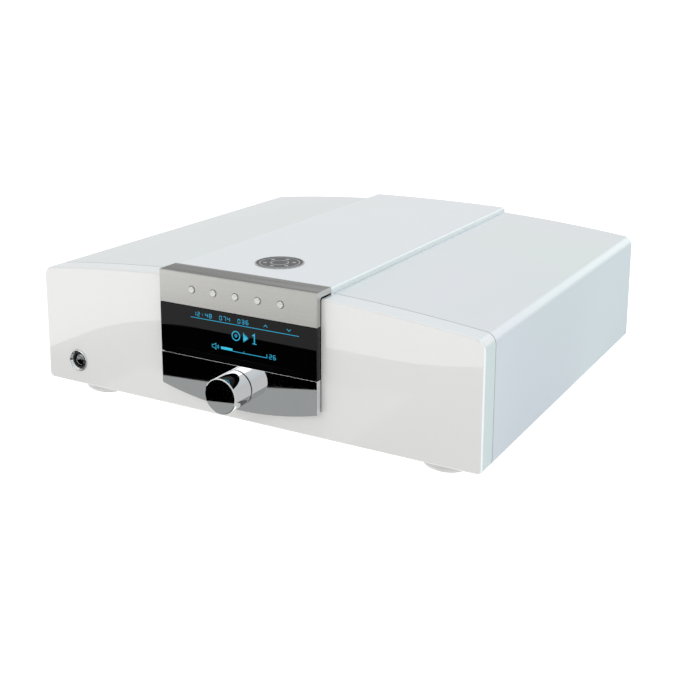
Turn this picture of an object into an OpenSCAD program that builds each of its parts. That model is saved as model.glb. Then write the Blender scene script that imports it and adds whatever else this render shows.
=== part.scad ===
// Full-width slot-loading compact disc player with a volume-controlled output.
// Every part is drawn in case coordinates, then put in the row frame by in_frame():
// X runs to the right, Y from the fascia's front face to the back, Z up from the case's underside.

/* [Case] */
// Width over the side covers
case_w = 445; // [435:1:460]
// Depth from the fascia's front face to the covers' rear edges
case_d = 400; // [396:1:430]
// Height of the side covers' crown above the underside
crown_z = 122.3; // [121:0.1:124]
// Radius of the long arc over the side covers
crown_r = 1780; // [1600:10:2200]
// Radius of the long edge between top and side
top_corner_r = 9.5; // [7:0.5:12]
// Radius of the long edge between side and underside
bottom_corner_r = 4.5; // [4:0.5:6]
// Thickness of the covers
wall = 3.5; // [3:0.1:3.6]
// Thickness of the fascia
fascia_t = 20.3; // [18:0.1:20.4]

/* [Control panel] */
// Width of the control panel and of the raised centre cover
panel_w = 159; // [156:1:160]
// How far the panel stands in front of the fascia
panel_out = 7.2; // [6.8:0.1:8]
// Top of the control band
band_top = 127; // [126.5:0.1:128]
// Bottom edge of the control band
band_bottom = 97.8; // [96:0.1:99]
// Joint between the display glass and the chrome plate
seam_z = 52.6; // [52:0.1:52.8]
// Height of the chrome plate's bottom corners
plate_corner_z = 23.1; // [22:0.1:24]
// Height of the chrome plate's lowest point
plate_low_z = 12.5; // [11:0.1:14]
// Distance between two buttons
button_pitch = 22.5; // [20:0.5:24]
// Radius of a button cap
button_r = 3; // [2.5:0.1:3.2]
// How far a button goes in
button_travel = 0.8; // [0.5:0.1:0.8]

/* [Knob] */
// Radius of the knob
knob_r = 15.7; // [14:0.1:16]
// How far the knob's face stands in front of the panel
knob_out = 24.5; // [20:0.5:28]
// Height of the knob's axis
knob_z = 32.5; // [31:0.1:34]

/* [Power button] */
// Distance of the power button from the middle
power_x = -185; // [-190:1:-180]
// Height of the power button's axis
power_z = 22.5; // [21:0.5:30]
// Radius of the power button
power_r = 6.25; // [5.5:0.05:6.25]
// How far the power button goes in
power_travel = 2; // [1:0.5:2]

/* [Feet] */
// Height of the case's underside above the floor
foot_h = 13; // [11:0.5:16]
// Radius of a foot at its top
foot_r = 23; // [20:0.5:25]
// Distance of a foot's axis from the middle
foot_x = 179; // [170:1:180]
// Distance of a foot's axis from the nearest end of the case
foot_y = 37; // [35:1:45]

/* [Transport] */
// Distance of the disc's axis from the fascia's front face
disc_y = 110; // [110:1:112]
// Lowest height of the path of the disc
path_z = 53.3; // [53.2:0.1:53.4]
// How far the traverse rises to lift the disc to the clamp
lift = 4.2; // [4:0.1:4.2]
// How far the pickup runs along its rods
sled_travel = 36; // [30:1:36]

/* [Hidden] */
$fn = 64;

// Small gap between two parts that lie together
gap = 0.2;
// A cut runs this far past the faces it goes through
past = 1;

// Case
crown_c = crown_z - crown_r;
// A rounded corner's circle crosses the flat faces at 8 degrees
corner_tuck = cos(8);
cover_y = fascia_t + 0.6;
centre_top = band_top;
centre_r = 2900;
seat_z = 120.5;
window_x = 74;
window_low = 24;
window_high = 118;
sheet = 2.5;
subframe_y = fascia_t + 0.4;
base_z = wall;
base_t = 2;
floor_z = base_z + base_t;
flange_top = 13.5;
flange_screw_z = 9;
screw_r = 1.5;
base_front = subframe_y + sheet + gap;
rear_t = 3;
rear_y = case_d - 6.5;
rear_face = rear_y + rear_t;
rca_out = 12;
depth_front = panel_out + knob_out;
depth_back = rear_face + rca_out;
mid_y = (depth_back - depth_front) / 2;

foot_boss_r = 11;
nut_r = 4.6;

// Control panel
panel_x = panel_w / 2;
panel_back = -0.7;
panel_t = panel_out + panel_back;
flange_z = 121.4;
flange_y = 16;
glass_t = 3.5;
carrier_y = -panel_out + glass_t + gap;
slot_x = 62.5;
slot_low = seam_z + 0.4;
slot_high = slot_low + 5;
plate_top = seam_z - 0.3;
glass_low = seam_z + 0.3;
plate_rise = plate_corner_z - plate_low_z;
plate_arc_r = (panel_x * panel_x + plate_rise * plate_rise) / (2 * plate_rise);
button_z = (band_top + band_bottom) / 2 + 0.2;
button_out = 0.9;
button_gap = 0.3;
display_x = 61;
display_low = 62.5;
display_high = 93.5;

// Knob and encoder
knob_gap = 0.8;
shaft_r = 3;
running_fit = 0.05;
bush_r = 4.5;

// Power button
power_sleeve_r = 7.9;
power_ring_r = 10;

// Transport
frame_x = 74;
frame_front = 30;
frame_back = 214;
frame_z = 36;
frame_t = 1.5;
deck_x = 56;
deck_front = 54;
deck_back = 190;
deck_z = 40;
deck_t = 1.5;
bridge_z = 61.5;
pin_r = 1.5;
pin_z = deck_z + 3;
pin_slot = pin_r + 0.3;
pin_ys = [75, 160];
slide_run = 12;
slide_x = 66;
slide_t = 1.5;
slide_back = deck_back + 6;
rod_x = 24;
rod_r = 1.5;
rod_z = 45.5;
lens_y = disc_y + 26;
rack_x = 31;
rack_m = 0.6;
sled_teeth = 20;
sled_pinion_r = sled_teeth * rack_m / 2;
sled_pinion_x = rack_x + sled_pinion_r;
sled_pinion_y = 150;
roller_y = 38;
roller_r = 4;
roller_z = 50.9;
roller_m = 0.8;
roller_teeth = 20;
motor_teeth = 10;
gear_x = frame_x + 1;
gear_w = 3;
gear_distance = (roller_teeth + motor_teeth) * roller_m / 2;
load_motor_z = 43.5;
load_motor_y = roller_y + sqrt(pow(gear_distance, 2) - pow(roller_z - load_motor_z, 2));
gear_angle = atan2(load_motor_z - roller_z, load_motor_y - roller_y);

// Electronics
transformer_x = -145;
transformer_y = 105;
transformer_r = 52;
transformer_h = 42;
board_z = 13;
board_t = 1.6;
psu_at = [-212, 185];
psu_size = [124, 165];
main_at = [86, 60];
main_size = [126, 325];
entry_x = -150;
entry_z = 52;
rocker_z = 76;
rocker_tilt = 8;
rocker_pin_r = 1.5;
rca_xs = [110, 150];
rca_z = 42;
xlr_xs = [110, 150];
xlr_z = 80;
coax_x = 60;
optical_x = 25;

// Colours
white = [0.93, 0.94, 0.94];
brushed = [0.72, 0.72, 0.71];
chrome = [0.82, 0.84, 0.85];
black = [0.05, 0.05, 0.05];
steel = [0.62, 0.64, 0.66];
green = [0.05, 0.30, 0.15];
copper = [0.72, 0.45, 0.20];
rubber = [0.12, 0.12, 0.12];
gold = [0.83, 0.68, 0.30];

// Puts a part drawn in case coordinates in the row frame
module in_frame() {
    translate([0, -mid_y, foot_h]) children();
}

// Extrudes an outline in X and Z from y0 to y1
module along_y(y0, y1) {
    translate([0, y1, 0]) rotate([90, 0, 0]) linear_extrude(y1 - y0) children();
}

// Extrudes an outline in Y and Z from x0 to x1
module along_x(x0, x1) {
    translate([x0, 0, 0]) rotate([90, 0, 90]) linear_extrude(x1 - x0) children();
}

// Box between two opposite corners
module block(low, high) {
    translate(low) cube(high - low);
}

// Round bar along Y at x, z
module bar_y(x, z, y0, y1, r) {
    translate([x, y1, z]) rotate([90, 0, 0]) cylinder(h = y1 - y0, r = r);
}

// Round bar along X at y, z
module bar_x(y, z, x0, x1, r) {
    translate([x0, y, z]) rotate([0, 90, 0]) cylinder(h = x1 - x0, r = r);
}

// Round bar along Z at x, y
module bar_z(x, y, z0, z1, r) {
    translate([x, y, z0]) cylinder(h = z1 - z0, r = r);
}

module both_sides() {
    children();
    mirror([1, 0, 0]) children();
}

// What lies outside the rounded corner between a side and the crown
module top_corner_waste(half, radius, r) {
    reach = r * corner_tuck;
    xc = half - reach;
    lean = asin(xc / (radius - reach));
    zc = crown_c + (radius - reach) * cos(lean);
    difference() {
        polygon([
            [xc, zc],
            [half + past, zc],
            [half + past, zc + 3 * r],
            [xc + 3 * r * sin(lean), zc + 3 * r * cos(lean)]
        ]);
        translate([xc, zc]) circle(r);
    }
}

// What lies outside the rounded corner between a side and the underside
module bottom_corner_waste(half, low, r) {
    reach = r * corner_tuck;
    difference() {
        translate([half - reach, low - past]) square(reach + past);
        translate([half - reach, low + reach]) circle(r);
    }
}

// Section of the case in X and Z, drawn in from the outside by inset
module case_outline(inset = 0) {
    half = case_w / 2 - inset;
    difference() {
        intersection() {
            translate([0, crown_c]) circle(crown_r - inset, $fn = 720);
            translate([-half, inset]) square([2 * half, crown_z]);
        }
        for (side = [0, 1]) mirror([side, 0]) {
            top_corner_waste(half, crown_r - inset, top_corner_r - inset);
            bottom_corner_waste(half, inset, max(bottom_corner_r - inset, 0.5));
        }
    }
}

// Section of the raised centre in X and Z down to a height, drawn in by inset
module centre_outline(inset, low) {
    half = panel_x - inset;
    intersection() {
        translate([0, centre_top - centre_r]) circle(centre_r - inset, $fn = 1080);
        translate([-half, low]) square([2 * half, centre_top - low + past]);
    }
}

module rect(x0, x1, z0, z1) {
    translate([x0, z0]) square([x1 - x0, z1 - z0]);
}

// Thick lacquered front plate with a window behind the control panel
module fascia() {
    color(white) in_frame() difference() {
        along_y(0, fascia_t) case_outline();
        block([-panel_x - 0.4, -past, seat_z], [panel_x + 0.4, fascia_t + past, crown_z + past]);
        block([-window_x, -past, window_low], [window_x, fascia_t + past, window_high]);
        bar_y(power_x, power_z, -past, fascia_t + past, power_sleeve_r + gap);
        bar_y(power_x, power_z, -past, 1.5, power_ring_r + 0.1);
        for (at = fascia_screws()) bar_y(at.x, at.y, fascia_t - 10, fascia_t + past, screw_r);
    }
}

// Side cover: side wall, crown and a lip under the base plate
module side_cover() {
    along_y(cover_y, case_d) difference() {
        intersection() {
            difference() {
                case_outline();
                case_outline(wall);
            }
            union() {
                rect(panel_x - 6, case_w, 20, crown_z + past);
                rect(case_w / 2 - 18, case_w, -past, 21);
            }
        }
    }
}

module left_cover() {
    color(white) in_frame() mirror([1, 0, 0]) drilled_cover();
}

module right_cover() {
    color(white) in_frame() drilled_cover();
}

module drilled_cover() {
    difference() {
        side_cover();
        for (y = cover_screw_ys()) bar_z(case_w / 2 - 11, y, -past, wall + past, 1.7);
    }
}

function cover_screw_ys() = [70, 200, 340];
function fascia_screws() = [for (x = [-205, -110, 110, 205], z = [18, 96]) [x, z]];
function front_screw_xs() = [-150, -50, 50, 150];
function rear_screw_xs() = [-205, -70, 85, 205];

// Raised centre cover: a shallow channel closed at the front
module centre_cover() {
    color(white) in_frame() difference() {
        along_y(flange_y + 0.4, case_d) centre_outline(0, seat_z + 0.1);
        along_y(fascia_t + 0.5, case_d + past) centre_outline(wall, seat_z - past);
        along_y(fascia_t + 0.3, case_d + past) case_outline(-0.1);
        bar_z(0, emblem_y(), centre_top - 1.2, centre_top + past, emblem_r() + 0.1);
    }
}

function emblem_y() = 62;
function emblem_r() = 22;

// Badge plate sunk in the centre cover, with two raised rings and no lettering
module emblem() {
    color(brushed) in_frame() translate([0, emblem_y(), centre_top - 1.2]) {
        cylinder(h = 1.4, r = emblem_r());
        translate([0, 0, 1.4]) {
            ring(17.5, 18.5, 0.3);
            ring(7, 8, 0.3);
        }
    }
}

module ring(r0, r1, h) {
    difference() {
        cylinder(h = h, r = r1);
        translate([0, 0, -past]) cylinder(h = h + 2 * past, r = r0);
    }
}

// Steel base with holes for the feet, the covers, the transformer and air
module base_plate() {
    half = case_w / 2 - wall - 1;
    color(steel) in_frame() difference() {
        union() {
            block([-half, base_front, base_z], [half, rear_y - gap, floor_z]);
            block([-half + 2, base_front, base_z], [half - 2, base_front + base_t, flange_top]);
            block([-half + 2, rear_y - gap - base_t, base_z], [half - 2, rear_y - gap, flange_top]);
        }
        for (x = front_screw_xs()) bar_y(x, flange_screw_z, 0, base_front + 3, screw_r);
        for (x = rear_screw_xs()) bar_y(x, flange_screw_z, rear_y - 4, rear_y, screw_r);
        for (x = [-foot_x, foot_x], y = foot_ys()) bar_z(x, y, 0, floor_z + past, 2.6);
        for (x = [-1, 1] * (case_w / 2 - 11), y = cover_screw_ys()) bar_z(x, y, 0, floor_z + past, 1.25);
        bar_z(transformer_x, transformer_y, 0, floor_z + past, 3.2);
        for (x = [-60:12:60], y = [230, 300]) block([x - 1.5, y, 0], [x + 1.5, y + 45, floor_z + past]);
    }
}

function foot_ys() = [foot_y, case_d - foot_y];

// Sheet behind the fascia that ties the covers and the base together
module front_subframe() {
    color(steel) in_frame() along_y(subframe_y, subframe_y + sheet) difference() {
        case_outline(wall + gap);
        rect(-slot_x - 2.3, slot_x + 2.3, slot_low - 1.8, slot_high + 1.8);
        rect(-40, 40, 68, 110);
        rect(-12, 12, 24, 42);
        translate([power_x, power_z]) circle(4);
        for (at = fascia_screws()) translate(at) circle(1.7);
        for (x = front_screw_xs()) translate([x, flange_screw_z]) circle(screw_r);
    }
}

// Rear panel with cut-outs for the sockets
module rear_panel() {
    color(white) in_frame() along_y(rear_y, rear_face) difference() {
        union() {
            case_outline(wall + gap);
            intersection() {
                centre_outline(wall + gap, 60);
                rect(-panel_x + 6.3, panel_x - 6.3, 60, centre_top);
            }
        }
        rect(entry_x - 22.2, entry_x + 22.2, entry_z - 32.2, entry_z + 32.2);
        for (x = rca_xs) translate([x, rca_z]) circle(5);
        for (x = xlr_xs) translate([x, xlr_z]) circle(11.7);
        translate([coax_x, rca_z]) circle(5);
        rect(optical_x - 5.2, optical_x + 5.2, rca_z - 5.2, rca_z + 5.2);
        for (x = [-70:10:0], z = [70, 92]) rect(x - 2, x + 2, z, z + 14);
        for (x = rear_screw_xs()) translate([x, flange_screw_z]) circle(1.7);
    }
}

// Brushed band: front leg with the button bores and a top flange over the fascia
module control_band() {
    r = 2.4;
    color(brushed) in_frame() difference() {
        union() {
            panel_studs([-66, 66], 107);
            along_x(-panel_x, panel_x) difference() {
                polygon([
                    [-panel_out, band_bottom],
                    [panel_back, band_bottom],
                    [panel_back, flange_z - r],
                    [panel_back + r, flange_z],
                    [flange_y, flange_z],
                    [flange_y, band_top],
                    [-panel_out, band_top]
                ]);
                translate([panel_back + r, flange_z - r]) circle(r);
            }
        }
        for (x = button_xs()) bar_y(x, button_z, -panel_out - past, past, button_r + button_gap);
    }
}

// Studs from the back of a panel part to the subframe
module panel_studs(xs, z) {
    for (x = xs) bar_y(x, z, panel_back - 0.5, subframe_y, 2.5);
}

function button_xs() = [for (i = [-2:2]) i * button_pitch];

// Black glass over the display, notched above the seam for the disc slot
module display_glass() {
    color(black) in_frame() difference() {
        block([-panel_x, -panel_out, glass_low], [panel_x, -panel_out + glass_t, band_bottom - 0.3]);
        block([-slot_x, -panel_out - past, 0], [slot_x, 0, slot_high]);
    }
}

// Polished plate with a bowed lower edge and a bore for the encoder
module chrome_plate() {
    color(chrome) in_frame() {
        panel_studs([-60, 60], 38);
        along_y(-panel_out, panel_back) difference() {
            intersection() {
                rect(-panel_x, panel_x, 0, plate_top);
                translate([0, plate_low_z + plate_arc_r]) circle(plate_arc_r, $fn = 360);
            }
            translate([0, knob_z]) circle(bush_r + 0.1);
        }
    }
}

// Black frame that holds the glass and leaves the display and the slot open
module panel_carrier() {
    color(black) in_frame() {
        panel_studs([-70, 70], 78);
        along_y(carrier_y, panel_back) difference() {
            rect(-panel_x + 0.3, panel_x - 0.3, glass_low, band_bottom - 0.3);
            rect(-display_x - 0.3, display_x + 0.3, display_low - 0.3, display_high + 0.3);
            rect(-slot_x, slot_x, 0, slot_high);
        }
    }
}

// Tunnel from the panel to the rollers, with a lip above the roller
module slot_guide() {
    side = 2;
    top = 1.5;
    color(black) in_frame() {
        along_y(panel_back + gap, subframe_y + sheet + past) difference() {
            rect(-slot_x - side, slot_x + side, slot_low - top, slot_high + top);
            rect(-slot_x, slot_x, slot_low, slot_high);
        }
        along_x(-slot_x - side, slot_x + side) polygon([
            [subframe_y + sheet + past, slot_high],
            [roller_y - 5, roller_z + roller_r + 1.3],
            [roller_y + 5, roller_z + roller_r + 1.3],
            [roller_y + 5, slot_high + top],
            [subframe_y + sheet + past, slot_high + top]
        ]);
    }
}

// Display with its board behind the glass
module display_module() {
    color(black) in_frame() {
        block([-display_x, carrier_y, display_low], [display_x, 1, display_high]);
        block([-66, 1, slot_high + 2.4], [66, 2.6, 96]);
    }
}

// Board with one key switch behind each button
module button_board() {
    color(green) in_frame() {
        block([-60, 5, 100], [60, 6.6, 117.5]);
        for (x = button_xs()) {
            block([x - 3, 2.5, button_z - 3], [x + 3, 5, button_z + 3]);
            bar_y(x, button_z, 1.5, 2.5, 1.6);
        }
    }
}

// Button cap with a collar behind the band
module button(i) {
    x = button_xs()[i - 1];
    color(brushed) in_frame() {
        bar_y(x, button_z, -panel_out - button_out, 0.5, button_r);
        bar_y(x, button_z, -0.4, 0.5, button_r + 1.2);
    }
}

// Volume knob, hollow at the back over the encoder's bush
module knob() {
    face = -panel_out - knob_out;
    back = -panel_out - knob_gap;
    edge = 0.6;
    color(chrome) in_frame() translate([0, 0, knob_z]) rotate([90, 0, 0]) rotate_extrude() difference() {
        polygon([
            [0, -back],
            [knob_r - edge, -back],
            [knob_r, -back + edge],
            [knob_r, -face - edge],
            [knob_r - edge, -face],
            [0, -face]
        ]);
        square([shaft_r, -back + 16]);
        square([knob_r - 3, -back + 7]);
    }
}

// Shaft that turns with the knob
module encoder_shaft() {
    color(steel) in_frame() bar_y(0, knob_z, -panel_out - knob_gap - 16, 4, shaft_r);
}

// Encoder behind the chrome plate, with its bush and nut
module encoder_body() {
    color(steel) in_frame() difference() {
        union() {
            block([-8, panel_back, knob_z - 8], [8, 7, knob_z + 8]);
            bar_y(0, knob_z, -panel_out - 5, panel_back, bush_r);
            translate([0, -panel_out, knob_z]) rotate([90, 0, 0]) cylinder(h = 3, r = 7.5, $fn = 6);
        }
        bar_y(0, knob_z, -panel_out - 6, 5, shaft_r + running_fit);
    }
}

// Bright ring around the power button
module power_ring() {
    color(chrome) in_frame() translate([power_x, 1.5, power_z]) rotate([90, 0, 0])
        rotate_extrude() polygon([
            [power_sleeve_r, 0],
            [power_ring_r, 0],
            [power_ring_r, 2.8],
            [power_ring_r - 0.5, 2.8],
            [power_sleeve_r, 0.7]
        ]);
}

// Black sleeve that the power button slides in
module power_sleeve() {
    color(black) in_frame() difference() {
        bar_y(power_x, power_z, 1, fascia_t - 1, power_sleeve_r);
        bar_y(power_x, power_z, -2, fascia_t, power_r + 0.1);
    }
}

module power_button() {
    color(brushed) in_frame() bar_y(power_x, power_z, 0.5, 14, power_r);
}

// Mains standby switch behind the subframe
module power_switch() {
    back = subframe_y + sheet;
    color(black) in_frame() {
        block([power_x - 9, back, power_z - 8], [power_x + 9, back + 14, power_z + 8]);
        bar_y(power_x, power_z, 14.2 + power_travel, back, 2);
    }
}

module feet() {
    color(white) in_frame() for (x = [-foot_x, foot_x], y = foot_ys()) translate([x, y, 0]) difference() {
        rotate_extrude() polygon([
            [0, -foot_h + 1.5],
            [foot_r - 1.5, -foot_h + 1.5],
            [foot_r, -foot_h + 3],
            [foot_r, -0.3],
            [foot_boss_r, -0.3],
            [foot_boss_r, base_z],
            [0, base_z]
        ]);
        translate([0, 0, -foot_h]) cylinder(h = foot_h + base_z + past, r = 2.6);
        translate([0, 0, -foot_h]) cylinder(h = 8, r = 5.5);
    }
}

// Rubber rings under the feet
module foot_pads() {
    color(rubber) in_frame() for (x = [-foot_x, foot_x], y = foot_ys()) translate([x, y, -foot_h])
        ring(8, foot_r - 4, 1.5);
}

module foot_screws() {
    color(steel) in_frame() for (x = [-foot_x, foot_x], y = foot_ys()) translate([x, y, 0]) {
        translate([0, 0, -foot_h + 8]) cylinder(h = foot_h - 8 + floor_z + 3, r = 2.5);
        translate([0, 0, -foot_h + 5]) cylinder(h = 3, r = 5);
        translate([0, 0, floor_z]) cylinder(h = 2.5, r = nut_r, $fn = 6);
    }
}

// Screws that join the covers, the fascia, the subframe and the rear panel to the base
module case_screws() {
    color(steel) in_frame() {
        for (x = [-1, 1] * (case_w / 2 - 11), y = cover_screw_ys()) translate([x, y, 0]) screw(floor_z + 1, 1.2);
        for (at = fascia_screws()) translate([at.x, subframe_y + sheet, at.y]) rotate([90, 0, 0]) screw(11, screw_r);
        for (x = front_screw_xs()) translate([x, base_front + base_t, flange_screw_z]) rotate([90, 0, 0])
            screw(4.5, screw_r);
        for (x = rear_screw_xs()) translate([x, rear_face, flange_screw_z]) rotate([90, 0, 0])
            screw(7, screw_r);
    }
}

// Pan-head screw whose head rests on z = 0
module screw(length, r) {
    translate([0, 0, -1.4]) cylinder(h = 1.4, r = 2.8);
    cylinder(h = length, r = r);
}

// Ring-core transformer
module toroidal_transformer() {
    edge = 9;
    hole = 15;
    color(copper) in_frame() translate([transformer_x, transformer_y, floor_z]) rotate_extrude() difference() {
        translate([hole, 0]) square([transformer_r - hole, transformer_h]);
        for (z = [0, 1]) translate([0, z * transformer_h]) mirror([0, z]) difference() {
            translate([transformer_r - edge, -past]) square(edge + past);
            translate([transformer_r - edge, edge]) circle(edge);
        }
    }
}

// Dished washer on the transformer
module transformer_clamp() {
    color(steel) in_frame() translate([transformer_x, transformer_y, floor_z + transformer_h])
        ring(3.1, 32, 2);
}

module transformer_bolt() {
    top = floor_z + transformer_h + 2;
    color(steel) in_frame() translate([transformer_x, transformer_y, 0]) {
        translate([0, 0, base_z]) cylinder(h = top - base_z + 8, r = 3);
        translate([0, 0, top]) cylinder(h = 5, r = 6.4, $fn = 6);
    }
}

module psu_board() {
    color(green) in_frame() {
        block([psu_at.x, psu_at.y, board_z], [psu_at.x + psu_size.x, psu_at.y + psu_size.y, board_z + board_t]);
        for (i = [0:2]) block([psu_at.x + 12 + i * 12, psu_at.y + 128, board_z], [psu_at.x + 20 + i * 12, psu_at.y + 136, 26]);
    }
}

module psu_capacitors() {
    color([0.1, 0.12, 0.2]) in_frame() for (i = [0, 1], j = [0:3])
        bar_z(psu_at.x + 62 + i * 38, psu_at.y + 22 + j * 38, board_z + board_t, 58, 14);
}

// Finned heatsink for the regulators
module heatsink() {
    x = psu_at.x + 8;
    y = psu_at.y + 20;
    color(black) in_frame() {
        block([x, y, board_z + board_t], [x + 4, y + 96, 62]);
        for (i = [0:8]) block([x + 4, y + i * 11.75, board_z + board_t], [x + 22, y + i * 11.75 + 2, 62]);
    }
}

// Converter and output board with its larger parts
module main_board() {
    top = board_z + board_t;
    color(green) in_frame() {
        block([main_at.x, main_at.y, board_z], [main_at.x + main_size.x, main_at.y + main_size.y, top]);
        block([main_at.x + 20, main_at.y + 30, top], [main_at.x + 80, main_at.y + 90, top + 18]);
        for (i = [0:3]) block([main_at.x + 20 + i * 26, main_at.y + 120, top], [main_at.x + 34 + i * 26, main_at.y + 134, top + 2.5]);
        for (i = [0:3]) block([main_at.x + 16 + i * 26, main_at.y + 250, top], [main_at.x + 30 + i * 26, main_at.y + 270, top + 11]);
        for (i = [0:4]) bar_z(main_at.x + 20 + i * 20, main_at.y + 180, top, top + 16, 6);
    }
}

// Spacers under the large boards and behind the panel's boards
module board_spacers() {
    color(steel) in_frame() {
        for (x = [-54, 54]) bar_y(x, 113, 6.6, subframe_y, 2.5);
        for (x = [-62, 62]) bar_y(x, 64, 2.6, subframe_y, 2.5);
        for (x = [6, psu_size.x - 6], y = [6, psu_size.y - 6])
            bar_z(psu_at.x + x, psu_at.y + y, floor_z, board_z, 3);
        for (x = [6, main_size.x - 6], y = [6, main_size.y / 2, main_size.y - 6])
            bar_z(main_at.x + x, main_at.y + y, floor_z, board_z, 3);
    }
}

// Mains inlet, fuse drawer and switch frame in one housing
module power_entry() {
    color(black) in_frame() {
        difference() {
            union() {
                block([entry_x - 22, rear_y - 30, entry_z - 32], [entry_x + 22, rear_face, entry_z + 32]);
                block([entry_x - 26, rear_face, entry_z - 36], [entry_x + 26, rear_face + 2.5, entry_z + 36]);
            }
            block([entry_x - 13.5, rear_face - 18, entry_z - 28], [entry_x + 13.5, rear_face + 3.5, entry_z - 8]);
            block([entry_x - 11.2, rear_face - 15, rocker_z - 7.2], [entry_x + 11.2, rear_face + 3.5, rocker_z + 7.2]);
            bar_x(rear_face - 3, rocker_z, entry_x - 14, entry_x + 14, rocker_pin_r + running_fit);
        }
        block([entry_x - 12, rear_face + 2.5, entry_z - 4], [entry_x + 12, rear_face + 3.5, entry_z + 12]);
        for (x = [-7, 0, 7]) block([entry_x + x - 1, rear_face - 18.5, entry_z - 20], [entry_x + x + 1, rear_face - 5, entry_z - 16]);
    }
}

// Rocker key on a pivot across its frame, at rest with its top edge out
module mains_rocker() {
    color(black) in_frame() translate([0, rear_face - 3, rocker_z]) {
        along_x(entry_x - 10.5, entry_x + 10.5) rotate(-rocker_tilt) polygon([
            [-5, -3],
            [-5, 3],
            [1, 5.9],
            [5.7, 5.9],
            [4.9, 0],
            [5.7, -5.9],
            [1, -5.9]
        ]);
        bar_x(0, 0, entry_x - 13, entry_x + 13, rocker_pin_r);
    }
}

// Phono sockets: gold barrel on a hexagonal collar
module phono_socket(x) {
    color(gold) difference() {
        union() {
            bar_y(x, rca_z, rear_y - 14, rear_face + rca_out, 4.15);
            translate([x, rear_face + 3, rca_z]) rotate([90, 0, 0]) cylinder(h = 3, r = 7, $fn = 6);
            bar_y(x, rca_z, rear_y - 3, rear_y, 6.5);
        }
        bar_y(x, rca_z, rear_face + 1, rear_face + rca_out + past, 1.6);
    }
}

module rca_sockets() {
    in_frame() for (x = rca_xs) phono_socket(x);
}

// Three-pin balanced outputs
module xlr_sockets() {
    color(black) in_frame() for (x = xlr_xs) {
        difference() {
            union() {
                block([x - 13, rear_face, xlr_z - 15.5], [x + 13, rear_face + 2, xlr_z + 15.5]);
                bar_y(x, xlr_z, rear_y - 20, rear_face, 11.5);
            }
            bar_y(x, xlr_z, rear_y - 17, rear_face + 3, 9.3);
        }
        for (a = [0, 120, 240]) bar_y(x + 4.5 * sin(a), xlr_z - 4.5 * cos(a), rear_y - 17.5, rear_face - 6, 1.2);
    }
}

// Coaxial and optical digital outputs
module digital_sockets() {
    in_frame() {
        phono_socket(coax_x);
        color(black) block([optical_x - 5, rear_y - 8, rca_z - 5], [optical_x + 5, rear_face + 1.5, rca_z + 5]);
    }
}

// Folded pan that carries the drive, with bearings for the roller in its sides
module transport_frame() {
    color(steel) in_frame() {
        difference() {
            block([-frame_x, frame_front, frame_z], [frame_x, frame_back, frame_z + frame_t]);
            block([-deck_x - 2, deck_front - 2, 0], [deck_x + 2, deck_back + 2, frame_z + 5]);
        }
        both_sides() difference() {
            block([frame_x - frame_t, frame_front, frame_z + frame_t], [frame_x, frame_back, bridge_z]);
            bar_x(roller_y, roller_z, 0, frame_x + past, 1.5 + running_fit);
            bar_x(load_motor_y, load_motor_z, 0, frame_x + past, 2.5);
            block([0, 80, 51], [frame_x + past, 150, 58]);
            for (y = pin_ys) {
                block([0, y - pin_slot, pin_z - pin_slot], [frame_x + past, y + pin_slot, pin_z + lift + pin_slot]);
            }
        }
    }
}

// Rubber pillars between the base and the drive
module transport_dampers() {
    color(rubber) in_frame() for (x = [-64, 64], y = [42, 203]) bar_z(x, y, floor_z, frame_z, 6);
}

// Strap over the disc that holds the clamp
module clamp_bridge() {
    color(steel) in_frame() difference() {
        block([-frame_x, disc_y - 22, bridge_z], [frame_x, disc_y + 22, bridge_z + frame_t]);
        bar_z(0, disc_y, bridge_z - past, bridge_z + 3, 4.3);
    }
}

// Clamp that hangs in the bridge and turns with the disc
module clamp_puck() {
    low = path_z + lift + 0.2;
    color(black) in_frame() translate([0, disc_y, low]) difference() {
        union() {
            cylinder(h = bridge_z - 0.6 - low, r = 15);
            cylinder(h = bridge_z + 2 - low, r = 4);
            translate([0, 0, bridge_z + 2 - low]) cylinder(h = 1.5, r = 7);
        }
        translate([0, 0, -past]) cylinder(h = past + 2, r = 7.9);
    }
}

// Slotted slide whose ramps raise the traverse
module lift_slide() {
    reach = sqrt(slide_run * slide_run + lift * lift);
    color(brushed) in_frame() {
        both_sides() along_x(slide_x, slide_x + slide_t) difference() {
            rect(58, slide_back, frame_z + frame_t + gap, 51);
            for (y = pin_ys) translate([y, pin_z]) rotate(180 - atan2(lift, slide_run)) {
                circle(pin_slot);
                translate([reach, 0]) circle(pin_slot);
                translate([0, -pin_slot]) square([reach, 2 * pin_slot]);
            }
        }
        block([-slide_x, slide_back - 3, frame_z + frame_t + gap], [slide_x, slide_back, frame_z + frame_t + 5]);
    }
}

// Deck that carries the motor, the rods and the pickup
module traverse_plate() {
    color(steel) in_frame() {
        difference() {
            block([-deck_x, deck_front, deck_z], [deck_x, deck_back, deck_z + deck_t]);
            block([-19, disc_y + 13, deck_z - past], [19, deck_back - 6, deck_z + 3]);
            bar_z(0, disc_y, deck_z - past, deck_z + 3, 4.1);
            bar_z(sled_pinion_x, sled_pinion_y, deck_z - past, deck_z + 3, 2);
        }
        both_sides() for (y = pin_ys) {
            block([deck_x - 4, y - 3, deck_z + deck_t], [deck_x, y + 3, deck_z + 5.5]);
            bar_x(y, pin_z, deck_x, frame_x, pin_r);
        }
        both_sides() for (y = [disc_y + 3, deck_back - 4]) difference() {
            block([rod_x - 2.5, y, deck_z + deck_t], [rod_x + 2.5, y + 4, rod_z + 2.5]);
            bar_y(rod_x, rod_z, y - past, y + 5, rod_r);
        }
    }
}

module guide_rods() {
    color(chrome) in_frame() both_sides() bar_y(rod_x, rod_z, disc_y + 3, deck_back, rod_r);
}

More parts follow.
